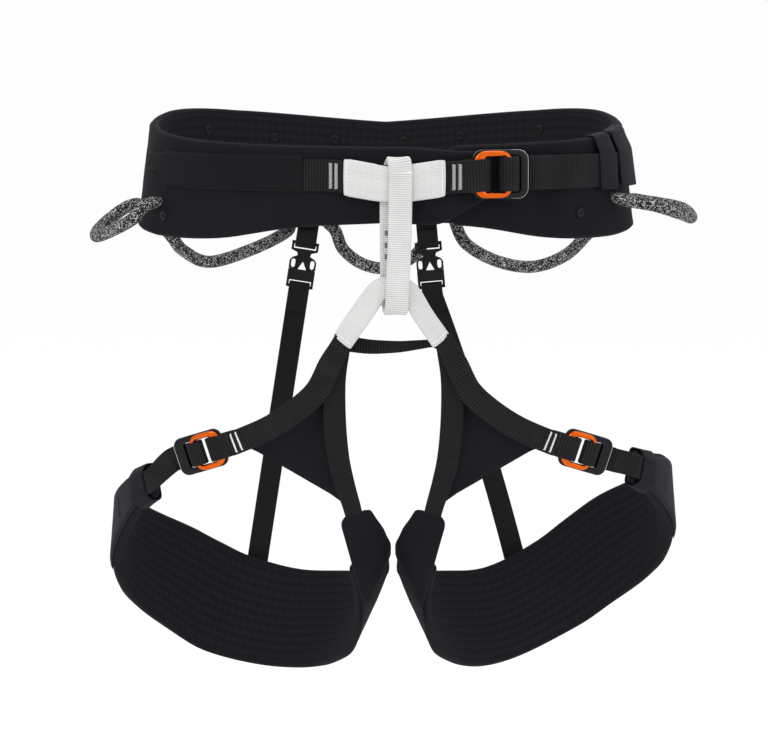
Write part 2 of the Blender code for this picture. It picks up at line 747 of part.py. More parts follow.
def riser_foot(side):
    """The foot as (across, out, down) on its riser."""
    place = riser_place(side)
    origin = place(0, 0, 0)
    reach = np.array(RISERS[side][1]) - origin
    axes = (place(1, 0, 0), place(0, 1, 0), place(0, 0, 1))
    return [float(reach.dot(axis - origin)) for axis in axes]


def riser_strap(name, place, route, width, look):
    """Strap along a riser; route rows: down, out and, where it drifts, across."""
    route = np.array([(*row, 0.0)[:3] for row in route], float)
    tangents = np.gradient(route[:, :2], axis=0)
    sections = []
    for (down, out, aside), (dd, dn) in zip(route, tangents):
        nd, nn = unit((-dn, dd)) * RISER_THICK / 2
        left, right = aside - width / 2, aside + width / 2
        sections.append([place(left, out - nn, down - nd), place(right, out - nn, down - nd),
                         place(right, out + nn, down + nd), place(left, out + nn, down + nd)])
    loft(name, sections, look)


def extrude_outline(name, place, outline, half, look):
    """A plate with the given (across, down) outline."""
    loft(name, [[place(a, -half, d) for a, d in outline],
                [place(a, half, d) for a, d in outline]], look)
    return bpy.data.objects[name]


def block(name, place, low, high, look):
    """A box between two corners given as (across, out, down)."""
    def ring(down):
        return [place(low[0], low[1], down), place(high[0], low[1], down),
                place(high[0], high[1], down), place(low[0], high[1], down)]

    loft(name, [ring(low[2]), ring(high[2])], look)
    return bpy.data.objects[name]


def cut(obj, cutter):
    modifier = obj.modifiers.new("cut", "BOOLEAN")
    modifier.operation = "DIFFERENCE"
    modifier.object = cutter
    cutter.hide_render = True
    cutter.display_type = "WIRE"


def riser(side, looks):
    """Tab on the belt, side-release buckle and elastic strap down to the leg loop."""
    place = riser_place(side)
    half = RISER_BUCKLE_WIDTH / 2
    strap_half = RISER_WIDTH / 2 + 0.5
    route = [(0, 1.0), (5, 2.2), (11, 2.9), (14.3, 2.2), (14.9, 0.0), (14.3, -2.2), (11, -2.9),
             (6, -2.4), (2.6, -1.2)]
    riser_strap(f"riser_tab_{side}", place, route, RISER_WIDTH, looks["black_webbing"])

    right = [(half, 11), (half, 17.6), (5.2, 19.2), (4.6, 21.4), (8.2, 23.2), (half, 25.4),
             (half, 31.1), (7.6, 31.5), (7.6, 36.4), (5.2, 36.4), (4.4, 33.4)]
    outline = right + [(-a, d) for a, d in right[::-1]]
    male = extrude_outline(f"riser_buckle_male_{side}", place, outline, 1.6, looks["black_plastic"])
    bars = [block(f"male_slot_{side}", place, (-strap_half, -5, 13.4), (strap_half, 5, 16.4),
                  looks["black_plastic"])]
    oval = [(1.3, 24.8), (1.5, 27), (1.3, 29.6), (0, 30.6), (-1.3, 29.6), (-1.5, 27), (-1.3, 24.8),
            (0, 24.1)]
    for shift in (-6.9, 6.9):
        window = [(a + shift, d) for a, d in oval]
        bars.append(extrude_outline(f"male_window_{side}_{shift > 0}", place, window, 5,
                                    looks["black_plastic"]))
    triangle = [(0, 25.6), (3.2, 31.6), (-3.2, 31.6)]
    bars.append(extrude_outline(f"male_triangle_{side}", place, triangle, 5, looks["black_plastic"]))
    for bar in bars:
        cut(male, bar)

    female = block(f"riser_buckle_female_{side}", place, (-half, -3.4, 31.4), (half, 3.4, 44.6),
                   looks["black_plastic"])
    cutters = (
        ((-8.2, -2.1, 29.0), (8.2, 2.1, 37.2)),
        ((-strap_half, -9, 39.4), (strap_half, 9, 42.4)),
    )
    for k, (low, high) in enumerate(cutters):
        cut(female, block(f"female_cut_{side}_{k}", place, low, high, looks["black_plastic"]))

    aside, out, foot = riser_foot(side)
    route = [(62, -1.5), (52, -3.2), (47.2, -4.9), (42.6, -4.6), (40.9, -2.6), (40.9, 2.6)]
    route += [(42.6, 4.6), (47.2, 4.9), (51, 3.4), (56, 1.0), (64, 0.0)]
    for down in np.linspace(84, foot, 8):
        share = (down - 64) / (foot - 64)
        drift = aside * (1.25 * share - 0.25 * share**2) * ease(share * 4)
        route.append((down, out * share, drift))
    riser_strap(f"riser_strap_{side}", place, route, RISER_WIDTH, looks["elastic"])


# ---------------------------------------------------------------- gear loops

# Turn and height of each end on the belt, then the points of the hanging part between.
ROPE_OFF = 1.8
GEAR_LOOPS = {
    "gear_loop_front_left": (
        (-66, -20), (-98, -26),
        ((-178, -58, -31), (-193, -42, -40), (-206, -14, -46), (-203, 8, -40))),
    "gear_loop_front_right": (
        (67, -17), (98, -22),
        ((180, -60, -22), (199, -40, -29), (207, -12, -33), (201, 9, -28))),
    "gear_loop_rear_left": (
        (-118, -39), (-157, -42),
        ((-157, 56, -52), (-149, 68, -63), (-131, 84, -72), (-100, 106, -64),
         (-76, 117, -52))),
    "gear_loop_rear_right": (
        (122, -39), (165, -42),
        ((139, 70, -51), (124, 92, -68), (101, 108, -77.5), (75, 119, -74),
         (53, 122, -61.5))),
    "haul_loop": (
        (194.2, -40), (171.5, -41),
        ((-42, 123, -52), (-36, 126, -66), (-22, 128, -77), (-4, 129, -80),
         (16, 128, -71), (24, 124, -56))),
}


def gear_loops(looks):
    for name, ((turn_a, high_a), (turn_b, high_b), middle) in GEAR_LOOPS.items():
        starts = [belt_point(belt_plan(turn_a, lift)[0], high_a - drop)
                  for lift, drop in ((ROPE_OFF, 0.0), (ROPE_OFF + 7.5, 2.0))]
        ends = [belt_point(belt_plan(turn_b, lift)[0], high_b - drop)
                for lift, drop in ((ROPE_OFF + 7.5, 2.0), (ROPE_OFF, 0.0))]
        tube(name, starts + list(middle) + ends, looks["speckled_sheath"])


def waist_belt(looks):
    belt_layer("waist_belt_shell", -SHELL, 0, looks["softshell"])
    belt_layer("waist_belt_foam", -SHELL - GAP - FOAM, -SHELL - GAP, looks["foam"], trim=1.0)
    belt_layer("waist_belt_lining", -PAD, -PAD + LINING, looks["quilted_lining"])
    belt_webbing(looks)
    tie_in_sleeve(looks)
    belt_patch("waist_webbing_cover", -196, -56, 2.2, 3.4,
               lambda d: (webbing_height(d) - 11.6, webbing_height(d) + 13.8), looks["softshell"], 14)
    rim_hook("waist_keeper", BUCKLE_AT + 83, BUCKLE_AT + 100, 4.3, (12, -10.5), looks["elastic"])
    rim_hook("waist_tail_pocket", BUCKLE_AT + 104, BUCKLE_AT + 130, 4.6, (14, -9.5), looks["elastic"])
    waist_buckle(looks)
    rivets(looks)


def main():
    clear_scene()
    looks = make_materials()
    waist_belt(looks)
    belay_loop(looks)
    lower_tie_in(looks)
    for side in ("left", "right"):
        leg_loop(side, looks)
        riser(side, looks)
    gear_loops(looks)


main()
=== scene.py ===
"""Looks of the climbing harness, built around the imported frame.

Lengths are in millimetres and MM turns them into Blender's metres. +X is to the
right, -Y is the front and +Z is up, as in the frame.
"""

import math

import bmesh
import bpy
import numpy as np
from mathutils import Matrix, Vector


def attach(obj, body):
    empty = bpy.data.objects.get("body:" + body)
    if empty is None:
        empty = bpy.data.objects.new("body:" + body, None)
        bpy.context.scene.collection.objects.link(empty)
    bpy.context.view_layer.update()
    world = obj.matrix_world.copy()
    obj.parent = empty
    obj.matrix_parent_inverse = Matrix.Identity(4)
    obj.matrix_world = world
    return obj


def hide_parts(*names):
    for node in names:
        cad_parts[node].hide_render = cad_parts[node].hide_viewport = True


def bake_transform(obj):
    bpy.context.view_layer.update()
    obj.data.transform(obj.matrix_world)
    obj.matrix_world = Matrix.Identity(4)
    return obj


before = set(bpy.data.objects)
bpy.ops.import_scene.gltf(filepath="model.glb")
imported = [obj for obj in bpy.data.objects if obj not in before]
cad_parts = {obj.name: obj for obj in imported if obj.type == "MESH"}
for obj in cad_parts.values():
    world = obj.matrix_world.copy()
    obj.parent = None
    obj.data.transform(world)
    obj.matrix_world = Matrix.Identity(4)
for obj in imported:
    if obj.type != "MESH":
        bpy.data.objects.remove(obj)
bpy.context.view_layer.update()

MM = 0.001
UP = np.array([0.0, 0.0, 1.0])

# Waist belt, as the frame has it.
BELT_CENTRE_X = -5.0
BELT_HALF_WIDTH = 164.0
BELT_HALF_DEPTH = 112.0
BELT_SQUARENESS = 2.2
# Turn from the front centre in degrees, height of the top edge, height of the bottom edge.
BELT_EDGES = (
    (0, 21.0, -30.5), (20, 21.5, -34.0), (42, 23.0, -42.5), (65, 26.5, -43.5),
    (90, 33.0, -40.0), (115, 39.0, -42.0), (140, 37.0, -45.0), (180, 27.5, -46.0),
)
PAD = 7.6
# The sides of the belt spread outward below FLARE_TOP, more the further they are from the middle.
FLARE = 0.12
FLARE_FROM_X = 100.0
FLARE_TOP = 36.0
# The right end of the belt laps over the left one: its edges are lower and higher than the belt's.
TONGUE_DROP = 3.5
TONGUE_CLIMB = 21.0
TONGUE_END = 34.0
INNER_END = -348.0
LAP_FROM = -311.5
LAP_TO = -323.0
LAP_SHIFT = PAD + 1.2
WEBBING = 23.0
WEBBING_THICK = 1.5
BUCKLE_AT = 70.5
KEEPER = (BUCKLE_AT + 83, BUCKLE_AT + 100)
TAIL_POCKET = (BUCKLE_AT + 104, BUCKLE_AT + 130)
TIE_IN = (-27.4, 38.8)
REAR_STUDS = ((-128.5, 24), (-152, 17), (-168.5, 15), (-183.5, 14), (-197.5, 18), (-222, 23.5))
FRONT_STUDS = {"left": (-63, -29), "right": (51, -25.5)}

# Diamond quilting of the linings.
QUILT_PITCH = 4.4
QUILT_DEPTH = 0.2

# Left leg pad: top edge x, y, z, then bottom edge x, y, z, on the outer face.
LEG_PAD = (
    (-165, -66, -198, -161, -68, -220), (-182, -42, -209, -179, -51, -235),
    (-193, -4, -225, -196, -12, -272), (-186, 31, -237, -195, 17, -297),
    (-169, 54, -249, -184, 44, -316), (-147, 71, -261, -163, 69, -336),
    (-125, 82, -274, -141, 83, -352), (-103, 87, -285, -115, 88, -361),
    (-66, 80, -294, -84, 77, -365), (-29, 58, -293, -58, 52, -362),
    (-8, 25, -289, -40, 25, -354), (-1.6, -5, -281, -27, -5, -339),
    (-3.0, -35, -262, -21, -38, -307), (-9, -57, -244, -27, -58, -275),
)
LEG_WEBBING = 16.5
LEG_WEBBING_THICK = 1.3
LEG_BUCKLE = ((-125.0, -79.0, -187.0), (-0.90, 0.31, -0.30), (-0.30, -0.95, -0.08))
LEG_BUCKLE_SIZE = 0.84
RIGHT_PAD_RISE = 22.0
LEG_KEEPER = (0.019, 0.058)
LEG_TAIL_POCKET = (0.056, 0.19)

RISERS = {
    "left": ((-61.0, 108.0, -48.5), (-99.0, 90.5, -296.0)),
    "right": ((24.5, 108.0, -48.5), (89.0, 92.5, -290.0)),
}
RISER_HANG = {"left": (-38.0, -17.5, -247.5), "right": (21.0, -15.5, -241.5)}
RISER_WIDTH = 15.0
RISER_THICK = 1.2

ROPE_RADIUS = 4.4
ROPE_OFF = 1.8
GEAR_LOOPS = {
    "gear_loop_front_left": (
        (-66, -20), (-98, -26),
        ((-178, -58, -31), (-193, -42, -40), (-206, -14, -46), (-203, 8, -40))),
    "gear_loop_front_right": (
        (67, -17), (98, -22),
        ((180, -60, -22), (199, -40, -29), (207, -12, -33), (201, 9, -28))),
    "gear_loop_rear_left": (
        (-118, -39), (-157, -42),
        ((-157, 56, -52), (-149, 68, -63), (-131, 84, -72), (-100, 106, -64),
         (-76, 117, -52))),
    "gear_loop_rear_right": (
        (122, -39), (165, -42),
        ((139, 70, -51), (124, 92, -68), (101, 108, -77.5), (75, 119, -74),
         (53, 122, -61.5))),
    "haul_loop": (
        (194.2, -40), (171.5, -41),
        ((-42, 123, -52), (-36, 126, -66), (-22, 128, -77), (-4, 129, -80),
         (16, 128, -71), (24, 124, -56))),
}


# ---------------------------------------------------------------- curves and meshes


def unit(v):
    v = np.asarray(v, float)
    return v / np.linalg.norm(v, axis=-1, keepdims=True)


def ease(t):
    t = np.clip(t, 0.0, 1.0)
    return t * t * (3 - 2 * t)


def catmull(table, steps):
    """Rows along a smooth curve through the rows of table, ends included."""
    rows = np.array(table, float)
    padded = np.vstack([2 * rows[0] - rows[1], rows, 2 * rows[-1] - rows[-2]])
    s = np.linspace(0, len(rows) - 1, steps)
    k = np.minimum(s.astype(int), len(rows) - 2)
    t = (s - k)[:, None]
    a, b, c, d = (padded[k + n] for n in range(4))
    return 0.5 * (2 * b + (c - a) * t + (2 * a - 5 * b + 4 * c - d) * t**2
                  + (3 * b - a - 3 * c + d) * t**3)


def resample(table, step, smooth=True):
    """Rows every step millimetres along the curve through table; x, y, z come first."""
    fine = catmull(table, 16 * len(table)) if smooth else np.array(table, float)
    gaps = np.linalg.norm(np.diff(fine[:, :3], axis=0), axis=1)
    along = np.concatenate([[0], np.cumsum(gaps)])
    at = np.linspace(0, along[-1], max(int(along[-1] / step), 3) + 1)
    return np.column_stack([np.interp(at, along, column) for column in fine.T])


def ripple(points, size, seed):
    """Smooth unevenness between -1 and 1 at points, with bumps of about that size."""
    total = np.zeros(points.shape[:-1])
    for k in range(5):
        turn = seed * 1.7 + k * 2.4
        heading = np.array([math.sin(turn), math.cos(1.3 * turn + k), math.sin(0.7 * turn + 2 * k)])
        total += np.sin(points @ unit(heading) * 2 * math.pi / (size * (0.7 + 0.23 * k)) + turn)
    return total / 5


def skin(name, rows, look, ring=False, crease=40):
    """Mesh over a grid of points, closed across; its UV map "weave" holds lengths both ways."""
    rows = np.asarray(rows, float)
    n, m = rows.shape[:2]
    wrap = np.concatenate([rows, rows[:1]]) if ring else rows
    wide = np.concatenate([rows, rows[:, :1]], axis=1)
    along = np.linalg.norm(np.diff(wrap, axis=0), axis=2).mean(axis=1)
    along = np.concatenate([[0], np.cumsum(along)])
    across = np.linalg.norm(np.diff(wide, axis=1), axis=2).mean(axis=0)
    across = np.concatenate([[0], np.cumsum(across)])
    a, b = np.meshgrid(np.arange(len(wrap) - 1), np.arange(wide.shape[1] - 1), indexing="ij")
    a, b = a.ravel(), b.ravel()
    corners = ((a, b), (a, b + 1), (a + 1, b + 1), (a + 1, b))
    faces = np.column_stack([(i % n) * m + j % m for i, j in corners]).tolist()
    weave = np.stack([np.column_stack([along[i], across[j]]) for i, j in corners], axis=1)
    weave = weave.reshape(-1, 2)
    if not ring:
        faces += [list(range(m)), list(range((n - 1) * m, n * m))]
        weave = np.concatenate([weave, np.zeros((2 * m, 2))])
    mesh = bpy.data.meshes.new(name)
    mesh.from_pydata((rows.reshape(-1, 3) * MM).tolist(), [], faces)
    mesh.uv_layers.new(name="weave").data.foreach_set("uv", weave.ravel())
    bm = bmesh.new()
    bm.from_mesh(mesh)
    bmesh.ops.recalc_face_normals(bm, faces=bm.faces)
    bm.to_mesh(mesh)
    bm.free()
    mesh.materials.append(look)
    mesh.shade_smooth()
    mesh.set_sharp_from_angle(angle=math.radians(crease))
    obj = bpy.data.objects.new(name, mesh)
    bpy.context.scene.collection.objects.link(obj)
    return obj


def tangents_of(centre, ring=False):
    if ring:
        return unit(np.roll(centre, -1, axis=0) - np.roll(centre, 1, axis=0))
    return unit(np.gradient(centre, axis=0))


def ribbon_rows(centre, normals, widths, thick, rib=(1.6, 0.0), ring=False, crown=0.0, across=9):
    """Sections of a woven strap; rib is the pitch and height of its cross ribs."""
    tangents = tangents_of(centre, ring)
    normals = unit(normals - tangents * (normals * tangents).sum(axis=1, keepdims=True))
    sides = np.cross(tangents, normals)
    gaps = np.linalg.norm(np.diff(centre, axis=0), axis=1)
    along = np.concatenate([[0], np.cumsum(gaps)])
    half = thick / 2 + rib[1] * np.cos(2 * math.pi * along / rib[0])
    flat = np.linspace(-1, 1, across)
    bend = np.radians((-50, 0, 50))
    spots = [(f, 0.0, -1.0) for f in flat] + [(1.0, math.cos(a), math.sin(a)) for a in bend]
    spots += [(f, 0.0, 1.0) for f in flat[::-1]] + [(-1.0, -math.cos(a), -math.sin(a)) for a in bend]
    f, edge, out = np.array(spots).T
    room = np.asarray(widths, float)[:, None] / 2 - thick / 2
    x = room * f + edge * thick / 2
    w = half[:, None] * out + crown * (1 - f * f)
    return centre[:, None] + sides[:, None] * x[..., None] + normals[:, None] * w[..., None]


def two_sided(front, behind):
    """One grid round a sheet from the grids of its two faces."""
    return np.concatenate([front, behind[:, ::-1]], axis=1)


def ribbon(name, table, thick, look, rib):
    """Strap through table rows x, y, z, normal x, y, z, width."""
    rows = resample(table, 0.4)
    return skin(name, ribbon_rows(rows[:, :3], rows[:, 3:6], rows[:, 6], thick, rib), look)


def turned_ribbon(name, route, across, width, thick, look, rib, step=0.4):
    """Strap along route whose width stays along the across direction."""
    centre = resample(route, step)
    normals = np.cross(across, tangents_of(centre))
    return skin(name, ribbon_rows(centre, normals, np.full(len(centre), width), thick, rib), look)


def tube_rows(centre, radii, around=16):
    tangents = tangents_of(centre)
    side = np.zeros_like(centre)
    side[0] = unit(np.cross(tangents[0], UP + 0.01))
    for k in range(1, len(centre)):
        side[k] = unit(side[k - 1] - tangents[k] * side[k - 1].dot(tangents[k]))
    other = np.cross(tangents, side)
    a = np.linspace(0, 2 * math.pi, around, endpoint=False)
    radii = np.broadcast_to(np.asarray(radii, float), (len(centre),))[:, None, None]
    return centre[:, None] + radii * (side[:, None] * np.cos(a)[None, :, None]
                                      + other[:, None] * np.sin(a)[None, :, None])


def joined(name, parts, look):
    """One mesh from several grids of points, each closed across and capped."""
    made = [skin(f"{name}.{k}", rows, look, crease=60) for k, rows in enumerate(parts)]
    bm = bmesh.new()
    for obj in made:
        bm.from_mesh(obj.data)
    mesh = bpy.data.meshes.new(name)
    bm.to_mesh(mesh)
    bm.free()
    mesh.materials.append(look)
    for obj in made:
        old = obj.data
        bpy.data.objects.remove(obj)
        bpy.data.meshes.remove(old)
    obj = bpy.data.objects.new(name, mesh)
    bpy.context.scene.collection.objects.link(obj)
    return obj


def grooved(rows, normals, across, depth, turns, wear, size, seed):
    """Strap sections with lengthwise grooves in the outer face and soft unevenness all round."""
    grooves = depth * np.cos(np.linspace(-1, 1, across) * math.pi * turns)
    face = np.concatenate([np.zeros(across + 3), grooves, np.zeros(3)])
    return rows + normals[:, None] * (face[None, :] + wear * ripple(rows, size, seed))[..., None]


def stitches(name, line, normals, look, length=2.4, gap=1.0, radius=0.22, lift=0.1):
    """A row of stitches along a line of points on a fabric."""
    rows = resample(np.column_stack([line, normals]), 0.4, smooth=False)
    each = max(int(length / 0.4), 2)
    pitch = each + max(int(gap / 0.4), 1)
    parts = []
    for k in range(0, len(rows) - each, pitch):
        part = rows[k : k + each + 1]
        arch = np.sin(np.linspace(0, math.pi, len(part)))[:, None]
        centre = part[:, :3] + part[:, 3:6] * (lift + radius * (arch - 0.7))
        parts.append(tube_rows(centre, radius, 6))
    return joined(name, parts, look)


def put(obj, body, *nodes, slot, blend=None):
    """Settles the body a piece moves with and the nodes it stands for; its finish, slot, is not used."""
    if blend:
        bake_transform(obj)
    else:
        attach(obj, body)
    if nodes:
        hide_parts(*nodes)


def metres(*point):
    return tuple(v * MM for v in point)


# ---------------------------------------------------------------- materials


def node(tree, kind, inputs=None, out=0, **settings):
    made = tree.nodes.new("ShaderNode" + kind)
    for key, value in settings.items():
        setattr(made, key, value)
    for key, value in (inputs or {}).items():
        if isinstance(value, bpy.types.NodeSocket):
            tree.links.new(value, made.inputs[key])
        else:
            made.inputs[key].default_value = value
    return made.outputs[out]


def calc(tree, operation, a, b=0.0, c=0.0):
    return node(tree, "Math", {0: a, 1: b, 2: c}, operation=operation)


def wave(tree, length, pitch):
    """Cosine of a length in millimetres, from 0 to 1."""
    turn = calc(tree, "MULTIPLY", length, 2 * math.pi / pitch)
    return calc(tree, "MULTIPLY_ADD", calc(tree, "COSINE", turn), 0.5, 0.5)


def mixed(tree, amount, low, high):
    made = tree.nodes.new("ShaderNodeMix")
    made.data_type = "RGBA"
    for socket, value in ((made.inputs[0], amount), (made.inputs[6], low), (made.inputs[7], high)):
        if isinstance(value, bpy.types.NodeSocket):
            tree.links.new(value, socket)
        elif isinstance(value, tuple):
            socket.default_value = (*value, 1.0)
        else:
            socket.default_value = value
    return made.outputs[2]


def shades(colour, low, high):
    return tuple(c * low for c in colour), tuple(c * high for c in colour)


class Look:
    """A Principled material under construction, with the weave lengths at hand."""

    def __init__(self, name, roughness, metallic=0.0, **sockets):
        self.made = bpy.data.materials.new(name)
        self.made.use_nodes = True
        self.tree = self.made.node_tree
        self.shader = self.tree.nodes["Principled BSDF"]
        self.shader.inputs["Roughness"].default_value = roughness
        self.shader.inputs["Metallic"].default_value = metallic
        for key, value in sockets.items():
            self.shader.inputs[key.replace("_", " ")].default_value = value
        uv = node(self.tree, "UVMap", uv_map="weave")
        split = self.tree.nodes.new("ShaderNodeSeparateXYZ")
        self.tree.links.new(uv, split.inputs[0])
        self.along, self.across = split.outputs[0], split.outputs[1]
        self.place = node(self.tree, "TexCoord", out="Object")

    def noise(self, scale, detail=3.0, stretch=(1, 1, 1)):
        at = node(self.tree, "Mapping", {"Vector": self.place, "Scale": stretch})
        return node(self.tree, "TexNoise", {"Vector": at, "Scale": scale, "Detail": detail})

    def colour(self, value):
        self.tree.links.new(value, self.shader.inputs["Base Color"])

    def roughness(self, value):
        self.tree.links.new(value, self.shader.inputs["Roughness"])

    def bump(self, height, distance, strength=1.0):
        """Adds a bump of that height in millimetres over what is there."""
        inputs = {"Height": height, "Distance": distance * MM, "Strength": strength}
        if self.shader.inputs["Normal"].links:
            inputs["Normal"] = self.shader.inputs["Normal"].links[0].from_socket
        self.tree.links.new(node(self.tree, "Bump", inputs), self.shader.inputs["Normal"])


def fabric(name, colour, roughness=0.8, thread=0.55, sheen=0.01, grain=0.08):
    """Plain woven or laminated cloth: fine threads, soft patches of tone."""
    look = Look(name, roughness, Sheen_Weight=sheen, Sheen_Roughness=0.5,
                Sheen_Tint=(0.75, 0.72, 0.85, 1.0), Specular_IOR_Level=0.07)
    tree = look.tree
    over = calc(tree, "MULTIPLY", wave(tree, look.along, thread), wave(tree, look.across, thread))
    patches = look.noise(38.0, 4.0)
    tone = calc(tree, "MULTIPLY_ADD", over, 0.35, calc(tree, "MULTIPLY", patches, 0.9))
    look.colour(mixed(tree, tone, *shades(colour, 0.72, 1.4)))
    look.bump(over, grain)
    look.bump(look.noise(260.0, 2.0), 0.12, 0.5)
    look.bump(look.noise(55.0, 3.0, (1, 1, 1.6)), 1.1, 0.55)
    return look


def webbing(name, colour, pitch=2.1, ridge=0.32, fine=0.7, contrast=(0.15, 2.5), sheen=0.0):
    """Woven strap: cross ribs at the pitch, lengthwise yarns between them, their crests painted lighter
    and the dips darker as painted highlight and shade.
    """
    look = Look(name, 0.62, Sheen_Weight=sheen, Sheen_Roughness=0.4, Specular_IOR_Level=0.1)
    tree = look.tree
    ribs = wave(tree, look.along, pitch)
    yarns = wave(tree, look.across, fine)
    weft = calc(tree, "MULTIPLY", ribs, calc(tree, "MULTIPLY_ADD", yarns, 0.4, 0.6))
    # Tone: random patches are real tone; the weft share is painted highlight on the raised ribs and
    # painted shade in the dips between them.
    tone = calc(tree, "MULTIPLY_ADD", look.noise(60.0, 4.0), 0.35, calc(tree, "MULTIPLY", weft, 0.65))
    look.colour(mixed(tree, tone, *shades(colour, *contrast)))
    look.bump(weft, ridge)
    return look


def quilted():
    """Lining of the pads: diamonds of bump with painted shade darkening their grooves, under rows and
    columns of tone.
    """
    colour, grid_pitch = (0.0112, 0.0109, 0.0137), 5.2
    look = fabric("quilted_lining", colour, 0.86, 0.9, 0.01, 0.1)
    tree = look.tree
    slant = calc(tree, "ADD", look.along, look.across)
    lean = calc(tree, "SUBTRACT", look.along, look.across)
    cells = calc(tree, "MULTIPLY", wave(tree, slant, QUILT_PITCH), wave(tree, lean, QUILT_PITCH))
    grid = calc(tree, "MULTIPLY_ADD", wave(tree, look.along, grid_pitch), 0.35,
                calc(tree, "MULTIPLY", wave(tree, look.across, grid_pitch), 0.65))
    # The cells darken the colour where their bump dips: painted shade in the quilting grooves.
    tone = calc(tree, "MULTIPLY_ADD", cells, 0.3, calc(tree, "MULTIPLY", grid, 0.7))
    look.colour(mixed(tree, tone, *shades(colour, 0.68, 1.34)))
    look.bump(cells, 0.22)
    return look.made


def make_looks():
    looks = {}
    looks["shell"] = fabric("softshell", (0.0078, 0.0073, 0.0098)).made
    looks["patch"] = fabric("smooth_laminate", (0.0068, 0.0066, 0.0082), 0.7, 0.45, 0.01, 0.04).made
    looks["lining"] = quilted()
    looks["webbing"] = webbing("black_webbing", (0.0098, 0.0098, 0.011)).made
    looks["fine_webbing"] = webbing("fine_black_webbing", (0.0075, 0.0075, 0.0085), 0.9, 0.1, 0.6).made
    looks["elastic"] = webbing("elastic", (0.0085, 0.0085, 0.0095), 0.7, 0.05, 1.3, (0.8, 1.25)).made
    looks["band"] = fabric("band_elastic", (0.0105, 0.0097, 0.0138), 0.7, 0.6, 0.02, 0.05).made

    white = (0.68, 0.68, 0.67)
    sleeve = webbing("white_sleeve", white, 0.8, 0.05, 1.15, (0.74, 1.16), 0.05)
    sleeve.bump(wave(sleeve.tree, sleeve.across, 1.15), 0.16)
    looks["sleeve"] = sleeve.made

    looks["loop"] = webbing("white_loop", white, 1.5, 0.2, 1.3, (0.58, 1.24), 0.05).made
    looks["tracer"] = webbing("tracer_yarn", (0.16, 0.17, 0.18), 1.5, 0.1, 0.6, (0.6, 1.4)).made
    looks["thread"] = webbing("grey_thread", (0.36, 0.36, 0.37), 0.5, 0.05, 0.3, (0.7, 1.2)).made
    for key, colour in (("white_thread", (0.8, 0.8, 0.8)), ("black_thread", (0.02, 0.02, 0.022)),
                        ("pale_tack_thread", (0.62, 0.62, 0.62))):
        looks[key] = webbing(key, colour, 0.5, 0.05, 0.3).made

    looks["orange"] = metal("orange_anodised", (0.66, 0.105, 0.008), 0.24, 1.0)
    looks["black_metal"] = metal("black_anodised", (0.013, 0.013, 0.0145), 0.26, 0.9)
    looks["silver"] = metal("polished_edge", (0.78, 0.78, 0.8), 0.18, 1.0)
    looks["plastic"] = plastic("black_plastic", (0.0075, 0.0075, 0.0085))
    looks["sheath"] = sheath()
    return looks


def metal(name, colour, roughness, metallic):
    """Anodised aluminium: fine brushing, a few handling marks."""
    look = Look(name, roughness, metallic, Coat_Weight=0.08, Coat_Roughness=0.12)
    tree = look.tree
    marks = look.noise(900.0, 4.0, (1, 1, 6))
    look.roughness(calc(tree, "MULTIPLY_ADD", marks, 0.22, roughness - 0.1))
    look.colour(mixed(tree, look.noise(90.0, 2.0), *shades(colour, 0.86, 1.1)))
    look.bump(marks, 0.02)
    return look.made


def plastic(name, colour):
    """Moulded plastic: fine spark-eroded grain."""
    look = Look(name, 0.42, Specular_IOR_Level=0.16)
    tree = look.tree
    look.roughness(calc(tree, "MULTIPLY_ADD", look.noise(500.0), 0.25, 0.3))
    look.colour(mixed(tree, look.noise(120.0), *shades(colour, 0.8, 1.25)))
    look.bump(look.noise(2200.0, 2.0), 0.04)
    return look.made


def sheath():
    """Braided rope sheath: black, grey and white strands in small diamonds."""
    look = Look("speckled_sheath", 0.75, Specular_IOR_Level=0.15)
    tree = look.tree
    slant = calc(tree, "ADD", look.along, look.across)
    lean = calc(tree, "SUBTRACT", look.along, look.across)
    at = node(tree, "CombineXYZ", {0: calc(tree, "MULTIPLY", slant, 1.25),
                                   1: calc(tree, "MULTIPLY", lean, 1.0)})
    cells = node(tree, "TexVoronoi", {"Vector": at, "Scale": 1.0, "Randomness": 0.85}, out="Color")
    ramp = tree.nodes.new("ShaderNodeValToRGB")
    tree.links.new(cells, ramp.inputs[0])
    ramp.color_ramp.interpolation = "CONSTANT"
    stops = ((0.0, 0.008), (0.5, 0.03), (0.62, 0.16), (0.72, 0.5))
    ramp.color_ramp.elements.remove(ramp.color_ramp.elements[1])
    for k, (position, grey) in enumerate(stops):
        stop = ramp.color_ramp.elements[0] if k == 0 else ramp.color_ramp.elements.new(position)
        stop.position = position
        stop.color = (grey, grey, grey * 1.03, 1.0)
    look.colour(ramp.outputs[0])
    braid = calc(tree, "MULTIPLY", wave(tree, slant, 1.7), wave(tree, lean, 1.7))
    look.bump(braid, 0.25)
    return look.made


# ---------------------------------------------------------------- waist belt


def belt_plan(turn, lift=0.0):
    """Points of the belt's outer face in plan, moved outward by lift, and its normals."""
    a = np.radians(np.asarray(turn, float))
    power = 2 / BELT_SQUARENESS
    sx = np.sign(np.sin(a)) * np.abs(np.sin(a)) ** power
    sy = np.sign(np.cos(a)) * np.abs(np.cos(a)) ** power
    grow = BELT_SQUARENESS - 1
    normal = unit(np.stack([np.sign(sx) * np.abs(sx) ** grow / BELT_HALF_WIDTH,
                            -np.sign(sy) * np.abs(sy) ** grow / BELT_HALF_DEPTH], axis=-1))
    point = np.stack([BELT_CENTRE_X + BELT_HALF_WIDTH * sx, -BELT_HALF_DEPTH * sy], axis=-1)
    return point + normal * np.asarray(lift, float)[..., None], normal


EDGE_ROWS = catmull(BELT_EDGES, 8 * (len(BELT_EDGES) - 1) + 1)


